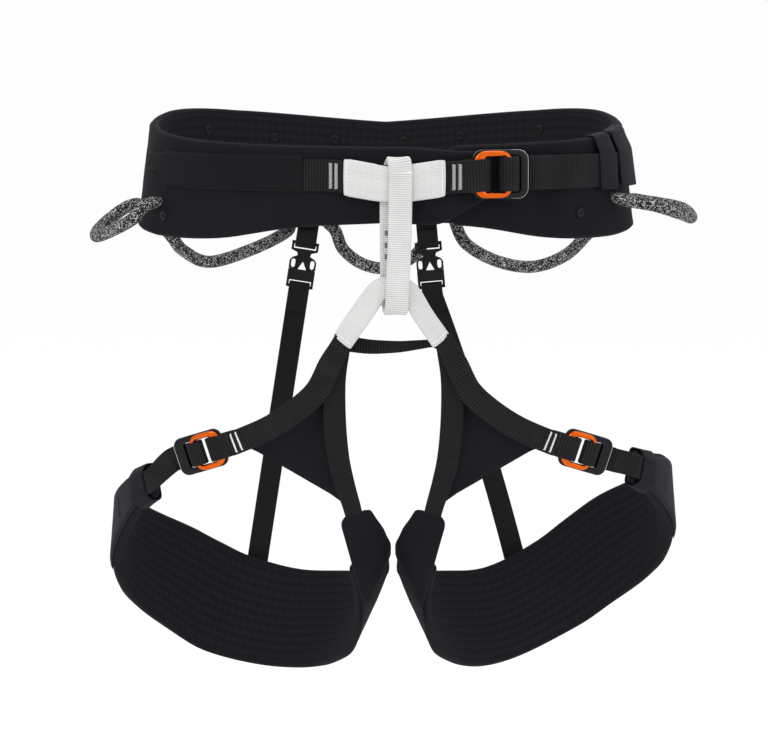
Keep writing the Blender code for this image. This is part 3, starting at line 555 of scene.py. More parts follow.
def belt_point(plan, height):
    """Points at places in plan and heights, with the spread of the belt's sides."""
    aside = plan[..., 0] - BELT_CENTRE_X
    share = np.maximum(np.abs(aside) - FLARE_FROM_X, 0.0) / (BELT_HALF_WIDTH - FLARE_FROM_X)
    push = FLARE * (FLARE_TOP - height) * share**2
    x, y, z = np.broadcast_arrays(plan[..., 0] + np.sign(aside) * push, plan[..., 1], height)
    return np.stack([x, y, z], axis=-1)


def belt_edges(turn):
    """Heights of the belt's top and bottom edges at a turn."""
    around = np.abs((np.asarray(turn, float) + 180) % 360 - 180)
    k = np.interp(around, [row[0] for row in BELT_EDGES], range(len(BELT_EDGES)))
    grid = np.arange(len(EDGE_ROWS)) / 8
    return np.interp(k, grid, EDGE_ROWS[:, 1]), np.interp(k, grid, EDGE_ROWS[:, 2])


TURNS = np.linspace(-360, 200, 2241)
STEPS = np.linalg.norm(np.diff(belt_plan(TURNS)[0], axis=0), axis=1)
ALONG = np.concatenate([[0], np.cumsum(STEPS)])
ALONG -= np.interp(0, TURNS, ALONG)


def turn_at(distance):
    return np.interp(distance, ALONG, TURNS)


def distance_at(turn):
    return float(np.interp(turn, TURNS, ALONG))


def lap(turn):
    """Lift of the belt, inward where its inner end passes beneath the tongue."""
    return -LAP_SHIFT * ease((LAP_FROM - turn) / (LAP_FROM - LAP_TO))


def webbing_height(distance):
    """Height of the waist webbing's middle line, which climbs to both sides."""
    distance = np.asarray(distance, float)
    return -1.5 + 3.5 * ease((5 - distance) / 50) + 4.2 * ease((distance - 5) / 75)


def on_belt(distance, lift, height):
    """Points at a distance along the belt, lifted off it, at a height; arrays work too."""
    distance, lift, height = np.broadcast_arrays(*(np.asarray(v, float)
                                                   for v in (distance, lift, height)))
    return belt_point(belt_plan(turn_at(distance), lift)[0], height)


def end_stations(length, step, fine=(0, 0.25, 0.8, 1.6, 2.6, 3.8, 5.5, 8, 11, 14.5)):
    """Distances from one end to the other, close together at both ends."""
    middle = np.arange(fine[-1] + step, length - fine[-1] - step / 2, step)
    return np.concatenate([fine, middle, length - np.array(fine[::-1])])


def pad_profile(across, half, inner, rim=6):
    """(out, share of the height, rise past it) round a pad: outer face, rim, inner face, rim."""
    face = np.linspace(0, 1, across)
    bend = np.radians(np.linspace(0, 180, rim + 2)[1:-1])
    rows = [(0.0, f, 0.0) for f in face]
    rows += [(-half + half * math.cos(a), 1.0, math.sin(a)) for a in bend]
    rows += [(inner, f, 0.0) for f in face[::-1]]
    rows += [(-half + half * math.cos(a), 0.0, -math.sin(a)) for a in bend[::-1]]
    return np.array(rows)


def end_thinning(at, length):
    """Share of the pad's thickness at stations along it, round at both ends."""
    near = np.minimum(np.minimum(at, length - at) / (PAD / 2), 1)
    return np.sqrt(np.clip(1 - (1 - near) ** 2, 0.03, 1))


def quilting(along, across, share):
    """Depth of the diamond quilting at lengths along and across, and its rise from the edges."""
    rise = np.minimum(np.minimum(share, 1 - share) * len(share) / 3, 1)
    slant = (along[:, None] + across) / QUILT_PITCH * math.pi
    lean = (along[:, None] - across) / QUILT_PITCH * math.pi
    return QUILT_DEPTH * np.abs(np.sin(slant) * np.sin(lean)) * rise, rise


def belt_limits(distance, trim=0.0):
    """Turn, top and bottom of the pad, lower on the tongue than on the end beneath it."""
    turn = turn_at(distance)
    top, bottom = belt_edges(turn)
    top = top - trim - TONGUE_DROP * ease((turn - 2) / 16)
    return turn, top, bottom + trim + TONGUE_CLIMB * ease((turn - 9) / 16)


def round_end(at, length, radius):
    """How much an edge draws in near both ends to leave a round corner."""
    near = np.minimum(at, length - at)
    gap = np.clip(radius - near, 0, radius)
    return radius - np.sqrt(np.maximum(radius**2 - gap**2, 0))


def belt_pad(looks):
    """The belt's padded body and, inside it, its quilted lining."""
    start = distance_at(TONGUE_END)
    length = start - distance_at(INNER_END)
    at = end_stations(length, 2.0)
    half = PAD / 2
    turn, top, bottom = belt_limits(start - at)
    corner = round_end(at, length, 13.0)
    top, bottom = top - corner, bottom + corner
    thin = end_thinning(at, length)
    profile = pad_profile(26, half, -PAD + 0.6)
    low, high = bottom + half, top - half
    z = low[:, None] + (high - low)[:, None] * profile[:, 1] + half * profile[:, 2]
    lift = -half + (profile[:, 0] + half) * thin[:, None] + lap(turn)[:, None]
    rows = on_belt((start - at)[:, None], lift, z)
    outside = (profile[:, 0] > -0.5) * (profile[:, 2] == 0)
    normal = belt_plan(turn)[1]
    push = 0.3 * ripple(rows, 34.0, 3) + 0.14 * ripple(rows, 11.0, 9) - 0.4
    rows[..., :2] += normal[:, None] * (push * outside)[..., None]
    pad = skin("belt_pad", rows, looks["shell"])
    put(pad, "waist_belt", "waist_belt_shell", "waist_belt_foam", slot="softshell")

    inset = 4
    at = end_stations(length - 2 * inset, 1.3)
    turn, top, bottom = belt_limits(start - inset - at, 2.6)
    corner = round_end(at, length - 2 * inset, 10.0)
    top, bottom = top - corner, bottom + corner
    share = np.linspace(0, 1, 58)
    z = bottom[:, None] + (top - bottom)[:, None] * share
    quilt, rise = quilting(at, z, share)
    distance, face = (start - inset - at)[:, None], -PAD + lap(turn)[:, None]
    inner = on_belt(distance, face + 0.25 - quilt - 0.3 * rise, z)
    lining = skin("belt_lining", two_sided(inner, on_belt(distance, face + 1.2, z)), looks["lining"])
    put(lining, "waist_belt", "waist_belt_lining", slot="quilted_lining")


def strap_on_belt(name, route, width, look, rib):
    """Strap standing on edge along the belt; route rows: distance, lift."""
    route = np.array(route, float)
    points = on_belt(route[:, 0], route[:, 1], webbing_height(route[:, 0]))
    return turned_ribbon(name, points, -UP, width, WEBBING_THICK, look, rib)


def tie_in_lift(distance):
    """Lift of the upper tie-in: it stands off the belt where the belay loop passes."""
    t = np.cos(np.radians(np.minimum(np.abs(distance - 5.3) / 36, 1.0) * 90)) ** 0.7
    return 2.6 + 4.1 * t


def u_turn(centre, radius, start, end, steps=8):
    angles = np.radians(np.linspace(start, end, steps))
    return [(centre[0] + radius[0] * math.cos(a), centre[1] + radius[1] * math.sin(a))
            for a in angles]


def belt_webbing(looks):
    """Fixed webbing through the tie-in and the adjusting webbing with its tail."""
    b = BUCKLE_AT
    # Under the cover, through the tie-in, then over and back beneath the orange frame's near bar.
    route = [(d, 1.1) for d in np.linspace(-166, -40, 13)]
    route += [(d, tie_in_lift(d)) for d in np.linspace(-32, 42, 12)]
    route += [(b - 20.7, 6.8), (b - 17.6, 10.3), (b - 14.2, 12.1)]
    route += u_turn((b - 9.3, 7.2), (7.0, 5.2), 72, -72)
    route += [(b - 13.6, 2.4), (b - 17.5, 2.6)]
    fixed = strap_on_belt("waist_webbing_fixed_woven", route, WEBBING - 1.2, looks["webbing"],
                          (2.1, 0.14))
    hinge = metres(*on_belt(b - 24, 6, 0)), metres(*on_belt(b - 15, 6, 0))
    put(fixed, "waist_belt", "waist_webbing_fixed", slot="black_webbing",
        blend=("waist_buckle", *hinge))

    # From the hip to the buckle, up round the orange frame's far bar and back on top as the tail.
    start = b + 128
    route = [(d, 1.1) for d in np.linspace(start, b + 18, 9)]
    route += [(b + 9.4, 1.3), (b + 6.8, 3.0), (b + 5.6, 6.0), (b + 5.9, 9.4), (b + 8.0, 11.7)]
    route += [(b + 11.2, 12.3), (b + 14.4, 11.7), (b + 16.5, 9.4), (b + 16.8, 6.0)]
    route += [(b + 18.0, 3.5), (b + 21.0, 3.0)]
    route += [(d, 3.0) for d in np.linspace(b + 27, start - 10, 8)]
    adjust = strap_on_belt("waist_webbing_adjust_woven", route, WEBBING, looks["webbing"], (2.1, 0.2))
    hinge = metres(*on_belt(b + 26, 3, 0)), metres(*on_belt(b + 16, 3, 0))
    put(adjust, "waist_belt", "waist_webbing_adjust", slot="black_webbing",
        blend=("waist_buckle", *hinge))


def webbing_cover(looks):
    """Cover over the fixed webbing on the left, swelling off the belt."""
    at = np.concatenate([[-196], np.arange(-195, -56.5, 1.5), [-56.4, -56]])
    narrow = ease((-162 - at) / 10)
    middle = webbing_height(at)
    bottom, top = middle - 11.6 + 10.5 * narrow, middle + 13.8 - 1.5 * narrow
    base, slope = 0.05, 3.0
    peak = 3.2 * np.minimum(1, ease((at + 197) / 12) + 0.1) * (1 - 0.1 * ease((at + 59) / 3))
    z = bottom[:, None] + (top - bottom)[:, None] * np.linspace(0, 1, 22)
    rise = ease(np.minimum(z - bottom[:, None], top[:, None] - z) / slope + 0.08)
    outer = on_belt(at[:, None], base + (peak[:, None] - base) * rise, z)
    inner = on_belt(at[:, None], np.full_like(z, base), z)
    cover = skin("waist_webbing_sleeve", two_sided(outer, inner), looks["patch"])
    put(cover, "waist_belt", "waist_webbing_cover", slot="softshell")


def round_corners(low, high, radius, per_corner=5):
    """Points of a rectangle's four round corners, in (first, second) coordinates."""
    points = []
    for k in range(4):
        u = (high[0] - radius) if k in (0, 3) else (low[0] + radius)
        v = (high[1] - radius) if k in (0, 1) else (low[1] + radius)
        for a in np.radians(np.linspace(90 * k, 90 * k + 90, per_corner)):
            points.append((u + radius * math.cos(a), v + radius * math.sin(a)))
    return np.array(points)


def band_profile(width, thick):
    """(along, out) points round a flat band's own section."""
    r = thick / 2
    flat = np.linspace(-width / 2 + r, width / 2 - r, 6)
    bend = np.radians((-50, 0, 50))
    rows = [(x, -r) for x in flat] + [(flat[-1] + r * math.cos(a), r * math.sin(a)) for a in bend]
    rows += [(x, r) for x in flat[::-1]] + [(flat[0] - r * math.cos(a), -r * math.sin(a)) for a in bend]
    return np.array(rows)


def rim_hook(name, span, out, ends, look, node_name):
    """Elastic over the belt's rim; ends are its heights inside and outside the belt."""
    start, end = span
    radius, thick = 3.6, 0.9
    corner = np.radians(np.linspace(180, 0, 13))
    grid = []
    for x, grow in band_profile(end - start, thick):
        d = (start + end) / 2 + x
        rim = belt_edges(turn_at(d))[0] + 0.7 + grow
        left, right = -PAD - 0.95 - grow, out + 0.45 + grow
        path = [(left, z) for z in np.linspace(ends[0], rim - radius, 14)[:-1]]
        for middle, angles in ((left + radius, corner[:7]), (right - radius, corner[6:])):
            path += [(middle + radius * math.cos(a), rim - radius + radius * math.sin(a)) for a in angles]
        path += [(right, z) for z in np.linspace(rim - radius, ends[1], 26)[1:]]
        path = np.array(path)
        hug = ease((path[:, 1] - 14) / (rim - 16)) * (path[:, 0] > 0)
        path[:, 0] -= (out - 0.9) * hug
        phase = (out + PAD + 0.5) / 2 + 0.45 + grow
        wrinkle = 0.18 * np.sin(path[:, 1] / 5.2 + phase) * (1 - (2 * x / (end - start)) ** 2)
        grid.append(on_belt(d, path[:, 0] + wrinkle * np.sign(path[:, 0]), path[:, 1]))
    band = skin(name, np.array(grid).transpose(1, 0, 2), look)
    put(band, "waist_belt", node_name, slot="elastic")


def belt_elastics(looks):
    """Keeper and tail pocket, both sewn over the rim of the belt."""
    rim_hook("waist_keeper_elastic", KEEPER, 4.3, (12, -10.5), looks["band"], "waist_keeper")
    rim_hook("waist_tail_pocket_elastic", TAIL_POCKET, 4.6, (14, -9.5), looks["band"],
             "waist_tail_pocket")


def tie_in(looks):
    """White sleeve of the upper tie-in, with its hems."""
    at = np.linspace(*TIE_IN, 110)
    share = (at - TIE_IN[0]) / (TIE_IN[1] - TIE_IN[0])
    droop = -1.9 * np.exp(-((at - 5) / 22) ** 2)
    middle = webbing_height(at) + droop
    centre = on_belt(at, tie_in_lift(at), 0.0)
    squeeze = np.exp(-((at - 4) / 13) ** 2)
    width = 25.2 - 0.6 * squeeze - 0.9 * (ease((0.06 - share) / 0.06) + ease((share - 0.94) / 0.06))
    normals = np.cross(-UP, tangents_of(centre))
    rows = ribbon_rows(centre, normals, width, 4.3, (1.15, 0.0), crown=0.45, across=24)
    rows[..., 2] += middle[:, None]
    sleeve = skin("tie_in_upper_cover", grooved(rows, normals, 24, 0.18, 10.5, 0.22, 17.0, 5),
                  looks["sleeve"])
    put(sleeve, "waist_belt", "tie_in_upper_sleeve", slot="white_webbing")
    for k, d in enumerate((TIE_IN[0] + 1.6, TIE_IN[1] - 1.6)):
        z = webbing_height(d) + np.linspace(-11.3, 11.3, 40)
        line = on_belt(d, tie_in_lift(d) + 2.55, z)
        out = np.repeat([(*belt_plan(turn_at(d))[1], 0.0)], 40, axis=0)
        hem = stitches(f"tie_in_upper_hem_{k + 1}", line, out, looks["white_thread"])
        put(hem, "waist_belt", slot="white_webbing")


def bartack(name, place, width, height, look):
    """Dense zigzag of thread over a width and a height, laid out by place(rows of u, v, w)."""
    pitch, radius, crown = 0.62, 0.24, 0.22
    turns = 2 * int(height / pitch) - 1
    u = width / 2 * np.where(np.arange(turns) % 2 == 0, -1, 1)
    v = np.linspace(-height / 2, height / 2, turns)
    path = resample(np.column_stack([u, v, np.zeros(turns)]), 0.45, smooth=False)
    path[:, 2] += crown * (1 - (np.abs(path[:, 0]) / (width / 2)) ** 4)
    return joined(name, [tube_rows(place(path), radius, 6)], look)


def belt_frame(distance, lift, height, slope=0.0):
    """place(rows of u, v, w): u along the belt, climbing off it by slope, v up, w off it."""
    turn = turn_at(distance)
    origin = on_belt(distance, lift, height)
    ahead = belt_plan(turn + 0.5)[0] - belt_plan(turn - 0.5)[0]
    along = unit((*ahead, 0.0))
    out = np.array((*belt_plan(turn)[1], 0.0))
    return lambda rows: origin + rows @ np.array([along + slope * out, UP, out])


def waist_bartacks(looks):
    """Two columns of tacking at each end of the upper tie-in."""
    b = BUCKLE_AT
    # The webbing's lift along the belt, so that each column lies flat on it.
    rise = ((-60, 1.1), (-40, 1.1), (-32, 2.6), (42, 2.6), (b - 20.7, 6.8), (b - 17.6, 10.3))
    for side, middle in (("left", -35.0), ("right", 46.9)):
        for k, shift in enumerate((-1.9, 1.9)):
            d = middle + shift
            low, high = np.interp((d - 1.3, d + 1.3), *np.transpose(rise))
            place = belt_frame(d, (low + high) / 2 + 0.9, webbing_height(d), (high - low) / 2.6)
            tack = bartack(f"waist_bartack_{side}_{k + 1}", place, 2.5, 17.0, looks["thread"])
            put(tack, "waist_belt", slot="white_webbing")


def studs(looks):
    """Turned stud heads where the frame has them."""
    profile = ((0.0, 0.5), (0.9, 0.5), (1.15, 0.95), (1.7, 1.45), (2.5, 1.4), (3.1, 1.0), (3.4, 0.35),
               (3.4, 0.0), (0.0, 0.0))
    spots = [(f"belt_stud_rear_{k + 1}", *spot, True) for k, spot in enumerate(REAR_STUDS)]
    spots += [(f"belt_stud_front_{side}", *spot, False) for side, spot in FRONT_STUDS.items()]
    for name, turn, height, inside in spots:
        plan, normal = belt_plan(turn, -PAD - 0.1 if inside else -0.1)
        middle = belt_point(plan, height)
        out = np.array((*(-normal if inside else normal), 0.0))
        side = np.cross(out, UP)
        rows = []
        for a in np.linspace(0, 2 * math.pi, 28, endpoint=False):
            spoke = side * math.cos(a) + UP * math.sin(a)
            rows.append([middle + spoke * max(r, 0.02) + out * w for r, w in profile])
        stud = skin(f"{name}_head", rows, looks["plastic"], ring=True)
        put(stud, "waist_belt", name, slot="black_plastic")


# ---------------------------------------------------------------- buckles


def rounded_loop(low, high, radius, per_corner=9, per_side=14, bulge=0.0):
    """Points round a rectangle with round corners; bulge bows the long rails out."""
    points = round_corners(low, high, radius, per_corner)
    fine = []
    for k in range(4):
        fine += list(points[k * per_corner : (k + 1) * per_corner])
        a, b = points[(k + 1) * per_corner - 1], points[(k + 1) * per_corner % len(points)]
        fine += [a + (b - a) * t for t in np.linspace(0, 1, per_side)[1:-1]]
    fine = np.array(fine)
    middle, reach = (low[0] + high[0]) / 2, (high[0] - low[0]) / 2
    share = 1 - ((fine[:, 0] - middle) / reach) ** 2
    fine[:, 1] += np.sign(fine[:, 1]) * bulge * share
    return fine


def frame_rows(place, outer, inner, low, high, round_by=0.9, segments=4):
    """Grid round a metal frame whose edges are rounded by that much."""
    rows = []
    bend = np.linspace(0, math.pi / 2, segments)
    for (ou, ov), (iu, iv) in zip(outer, inner):
        span = math.hypot(iu - ou, iv - ov)
        toward = np.array([(iu - ou) / span, (iv - ov) / span])
        r = min(round_by, span / 2.2, (high - low) / 2)
        local = [(r - r * math.cos(a), high - r + r * math.sin(a)) for a in bend]
        local += [(span - r + r * math.sin(a), high - r + r * math.cos(a)) for a in bend]
        local += [(span - r + r * math.cos(a), low + r - r * math.sin(a)) for a in bend]
        local += [(r - r * math.sin(a), low + r - r * math.cos(a)) for a in bend]
        rows.append([place(ou + toward[0] * s, ov + toward[1] * s, w) for s, w in local])
    return np.array(rows)


def buckle(prefix, place, width, size, base, reach, looks):
    """Inner orange frame over an outer black frame with a polished edge at its far end."""
    half = width / 2 + 0.7
    rail = 3.7
    outer = rounded_loop((-13.6 * size, -half - rail + 0.7), (13.6 * size, half + rail - 0.7),
                         7.5 * size, bulge=0.7)
    inner = rounded_loop((-5.6 * size, -half), (8.4 * size, half), 1.6)
    rows = frame_rows(place, outer, inner, base + 3.0, base + 5.8, 1.2)
    obj = skin(f"{prefix}_orange_frame", rows, looks["orange"], ring=True)
    put(obj, prefix, f"{prefix}_inner_frame", slot="orange_anodised")
    low, high = (-14.2 * size, -half - rail - 0.6), (reach, half + rail + 0.6)
    outer = rounded_loop(low, high, 7.0 * size)
    inner = rounded_loop((-6.4 * size, -half), (19.6 * size, half), 2.0)
    rows = frame_rows(place, outer, inner, base, base + 2.7, 0.8)
    obj = skin(f"{prefix}_black_frame", rows, looks["black_metal"], ring=True)
    put(obj, prefix, f"{prefix}_outer_frame", slot="black_anodised")
    edge = np.array([place(u, v, base + 2.3) for u, v in rounded_loop(
        (low[0] + 0.25, low[1] + 0.25), (high[0] - 0.25, high[1] - 0.25), 6.8 * size)])
    ahead = (edge - place(0, 0, base)) @ (place(1, 0, 0) - place(0, 0, 0))
    start = int(np.argmin(ahead))
    edge = np.roll(edge, -start, axis=0)[np.roll(ahead, -start) > 9.0 * size]
    radii = 0.22 * np.sin(np.linspace(0.15, math.pi - 0.15, len(edge))) ** 0.5
    obj = skin(f"{prefix}_polished_edge", tube_rows(edge, radii, 8), looks["silver"])
    put(obj, prefix, slot="black_anodised")


def placed(origin, along, outward):
    """place(u, v, w): u along, w outward, v across."""
    along = unit(along)
    outward = np.asarray(outward, float)
    outward = unit(outward - along * outward.dot(along))
    across = np.cross(outward, along)

    def place(u, v, w):
        return np.asarray(origin, float) + along * u + across * v + outward * w

    return place


def waist_buckle(looks):
    """Double-back buckle of the waist, standing on the webbing it holds."""
    turn = turn_at(BUCKLE_AT)
    plan, normal = belt_plan(turn)
    tangent = belt_plan(turn + 0.5)[0] - belt_plan(turn - 0.5)[0]
    place = placed((*plan, webbing_height(BUCKLE_AT)), (*tangent, 0), (*normal, 0))
    buckle("waist_buckle", place, WEBBING, 1.0, 4.3, 25.2, looks)


# ---------------------------------------------------------------- belay loop and tie-in


LOOP_ROWS = (
    (4.8, -123.0, 4.0), (4.6, -123.4, -20.0), (4.0, -125.0, -45.0), (3.0, -124.6, -68.0),
    (2.3, -122.2, -85.0), (1.4, -118.0, -89.9), (0.2, -113.0, -85.6), (-1.0, -111.4, -70.0),
    (-1.2, -111.6, -52.0), (-1.2, -113.8, -35.0), (-1.2, -114.1, -16.0), (0.6, -114.1, 4.0),
    (2.4, -115.0, 10.8), (3.2, -118.4, 13.3), (4.2, -121.8, 10.8),
)
LOOP_HINGE = ("belay_loop", metres(1.2, -118.4, 8), metres(1.2, -118.4, -14))

# Straps by rows: x, y, z, normal x, y, z, width.
LOWER_TIE_IN = (
    (-34.6, -101.0, -111.0, -0.25, -1, 0.1, 15.5), (-22.5, -108.0, -93.0, -0.3, -1, 0.2, 16.5),
    (-9.5, -116.9, -75.0, -0.2, -1, 0.1, 15.0), (1.2, -118.4, -72.5, 0, -1, 0, 13.0),
    (10.5, -116.9, -76.0, 0.2, -1, 0.1, 14.0), (20.6, -108.0, -93.3, 0.3, -1, 0.2, 15.0),
    (32.2, -101.0, -110.5, 0.25, -1, 0.1, 14.6),
)
BRIDGE_STRAP = (
    (-29.0, -95.4, -113.5, -0.15, -1, 0.4, 11.0), (-15.0, -94.2, -115.3, 0, -1, 0.3, 10.0),
    (3.0, -93.6, -115.4, 0, -1, 0.2, 8.0), (17.0, -94.0, -114.0, 0, -1, 0.3, 6.5),
    (26.5, -94.8, -113.2, 0.15, -1, 0.4, 5.4), (32.5, -95.6, -116.0, 0.15, -1, 0.4, 5.0),
)
LEG_FRONT = (
    (-33.4, -102.0, -107.6, -0.1, -1, 0.0, 11.5),
    (-37.5, -102.0, -116.6, -0.1, -1, 0.0, 13.8), (-43.0, -102.2, -127.0, -0.2, -1, 0.0, 16.0),
    (-52.0, -101.0, -145.0, -0.25, -1, -0.05, 16.5), (-67.0, -98.5, -159.0, -0.3, -1, -0.1, 16.5),
    (-85.0, -94.0, -171.0, -0.3, -0.95, -0.1, 16.5),
)
LEG_INNER = (
    (-33.5, -99.7, -106.9, 0, -1, 0, 11.5),
    (-36.0, -99.6, -117.9, 0, -1, 0, 13.0), (-39.4, -98.8, -138.0, 0, -1, 0, 14.5),
    (-39.8, -95.0, -165.0, 0.05, -1, -0.1, 15.5), (-37.5, -88.0, -191.0, 0.1, -1, -0.3, 15.0),
    (-33.5, -80.5, -210.0, 0.1, -1, -0.35, 14.0), (-29.0, -76.0, -225.0, 0.1, -1, -0.35, 12.5),
    (-26.5, -73.0, -235.0, 0.1, -1, -0.35, 12.0),
)


def belay_loop(looks):
    """The white loop through both tie-ins, with a line of tracer yarn near each edge."""
    centre = resample(catmull(LOOP_ROWS + (LOOP_ROWS[0],), 240), 0.5, smooth=False)[:-1]
    tangents = tangents_of(centre, ring=True) * (0, 1, 1)
    normals = np.cross((1.0, 0.0, 0.0), unit(tangents))
    widths = np.full(len(centre), 15.8)
    rows = ribbon_rows(centre, normals, widths, 3.0, (1.5, 0.1), ring=True, crown=0.25, across=16)
    loop = skin("belay_loop_webbing", rows, looks["loop"], ring=True)
    put(loop, "waist_belt", "belay_loop", slot="white_webbing", blend=LOOP_HINGE)
    front = (centre[:, 1] < -117.0) & (centre[:, 2] < 9.0)
    start = int(np.argmax(front & ~np.roll(front, 1)))
    run = np.roll(np.arange(len(centre)), -start)[: int(front.sum())]
    for k, offset in enumerate((-4.3, 4.3)):
        line = centre[run] + np.array([offset, 0, 0]) + normals[run] * 1.72
        tracer = stitches(f"belay_loop_tracer_{k + 1}", line, normals[run], looks["tracer"], 1.6, 1.2, 0.2)
        put(tracer, "waist_belt", slot="white_webbing", blend=LOOP_HINGE)


def loop_dashes(looks):
    """Three short plain dashes on the loop's back run."""
    parts = []
    for height in (-36.5, -44.8, -52.6):
        y = float(np.interp(height, (-52.0, -35.0), (-111.6, -113.8))) - 1.78
        centre = np.array([(-4.6, y, height + h) for h in np.linspace(-1.7, 1.7, 9)])
        normals = np.repeat([(0.0, -1.0, 0.13)], 9, axis=0)
        parts.append(ribbon_rows(centre, normals, np.full(9, 2.6), 0.5, across=5))
    dashes = joined("belay_loop_dashes", parts, looks["tracer"])
    put(dashes, "waist_belt", slot="white_webbing", blend=LOOP_HINGE)


def lower_tie_in(looks):
    """White sleeve in an inverted V, and the strap that bridges the leg loops."""
    table = resample(LOWER_TIE_IN, 0.6)
    rows = ribbon_rows(table[:, :3], table[:, 3:6], table[:, 6], 4.2, crown=0.35, across=18)
    normals = unit(table[:, 3:6])
    sleeve = skin("tie_in_lower_cover", grooved(rows, normals, 18, 0.16, 7, 0.25, 15.0, 8),
                  looks["sleeve"])
    put(sleeve, "leg_bridge", "tie_in_lower_sleeve", slot="white_webbing")
    for k, row in enumerate((4, len(table) - 5)):
        side = unit(np.cross(tangents_of(table[:, :3])[row], normals[row]))
        line = table[row, :3] + np.linspace(-6.8, 6.8, 30)[:, None] * side + normals[row] * 2.35
        hem = stitches(f"tie_in_lower_hem_{k + 1}", line, np.repeat([normals[row]], 30, axis=0),
                       looks["white_thread"])
        put(hem, "leg_bridge", slot="white_webbing")
    bridge = ribbon("leg_bridge_woven", BRIDGE_STRAP, 1.4, looks["webbing"], (1.9, 0.2))
    put(bridge, "leg_bridge", "leg_bridge_strap", slot="black_webbing")


# ---------------------------------------------------------------- leg loops


def mirrored(points, side):
    return np.asarray(points, float) * ((1, 1, 1) if side == "left" else (-1, 1, 1))


def pad_sided(points, side):
    """Points of the left pad on the asked side; the right pad sits higher behind."""
    points = np.array(points, float)
    if side == "right":
        behind = 0.45 + 0.55 * ease((points[..., 1] + 66) / 60)
        points[..., 2] += RIGHT_PAD_RISE * ease((-points[..., 0] - 50) / 110) * behind
    return mirrored(points, side)


PAD_ROWS = catmull(LEG_PAD, 12 * (len(LEG_PAD) - 1) + 1)
PAD_GRID = np.linspace(0, 1, len(PAD_ROWS))


def pad_at(t):
    """Top, bottom, outward and downward directions of the left leg pad at t; arrays work too."""
    def row(s):
        s = np.clip(s, 0, 1)
        return np.stack([np.interp(s, PAD_GRID, column) for column in PAD_ROWS.T], axis=-1)

    t = np.asarray(t, float)
    here = row(t)
    turn = row(t + 0.01) - row(t - 0.01)
    fall = here[..., 3:] - here[..., :3]
    outward = unit(np.cross(turn[..., :3] + turn[..., 3:], fall))
    return here[..., :3], here[..., 3:], outward, unit(fall)


def pad_stations(step, start=0.0, end=1.0):
    """Values of t at even steps along the middle of the pad, close together at its ends."""
    t = np.linspace(start, end, 600)
    top, bottom, _, _ = pad_at(t)
    middle = (top + bottom) / 2
    along = np.concatenate([[0], np.cumsum(np.linalg.norm(np.diff(middle, axis=0), axis=1))])
    at = end_stations(along[-1], step, (0, 0.25, 0.8, 1.6, 2.6, 3.8))
    return np.interp(at, along, t), at, along[-1]


def leg_pad(side, looks):
    """A leg loop's padded body and, inside it, its quilted lining."""
    t, at, length = pad_stations(2.0, 0.012)
    top, bottom, outward, fall = pad_at(t)
    half = PAD / 2
    thin = end_thinning(at, length)
    profile = pad_profile(22, half, -PAD + 0.6)
    drawn = round_end(at, 2 * length, 5.0)[:, None]
    high, low = top + fall * (half + drawn), bottom - fall * (half + drawn)
    lift = -half + (profile[:, 0] + half) * thin[:, None]
    rows = (low[:, None] + (high - low)[:, None] * profile[:, 1, None]
            - fall[:, None] * (half * profile[:, 2])[..., None] + outward[:, None] * lift[..., None])
    outside = (profile[:, 0] > -0.5) * (profile[:, 2] == 0)
    bulge = 4 * profile[:, 1] * (1 - profile[:, 1]) * outside * 0.4
    push = (0.35 * ripple(rows, 30.0, 2) + 0.14 * ripple(rows, 11.0, 4) - 0.4) * outside + bulge
    rows += outward[:, None] * push[..., None]
    body = f"leg_{side}"
    pad = skin(f"leg_pad_{side}", pad_sided(rows, side), looks["shell"])
    put(pad, body, f"leg_pad_shell_{side}", f"leg_pad_foam_{side}", slot="softshell")

    t, at, _ = pad_stations(1.3, 0.03, 0.992)
    top, bottom, outward, fall = pad_at(t)
    tall = np.linalg.norm(bottom - top, axis=1)
    share = np.linspace(0, 1, 50)
    drop = 2.6 + (tall - 5.2)[:, None] * share
    quilt, rise = quilting(at, drop, share)
    base = top[:, None] + fall[:, None] * drop[..., None] - outward[:, None] * PAD
    inner = base + outward[:, None] * (0.25 - quilt - 0.4 * rise)[..., None]
    rows = two_sided(inner, base + outward[:, None] * 1.2)
    lining = skin(f"leg_lining_{side}", pad_sided(rows, side), looks["lining"])
    put(lining, body, f"leg_pad_lining_{side}", slot="quilted_lining")


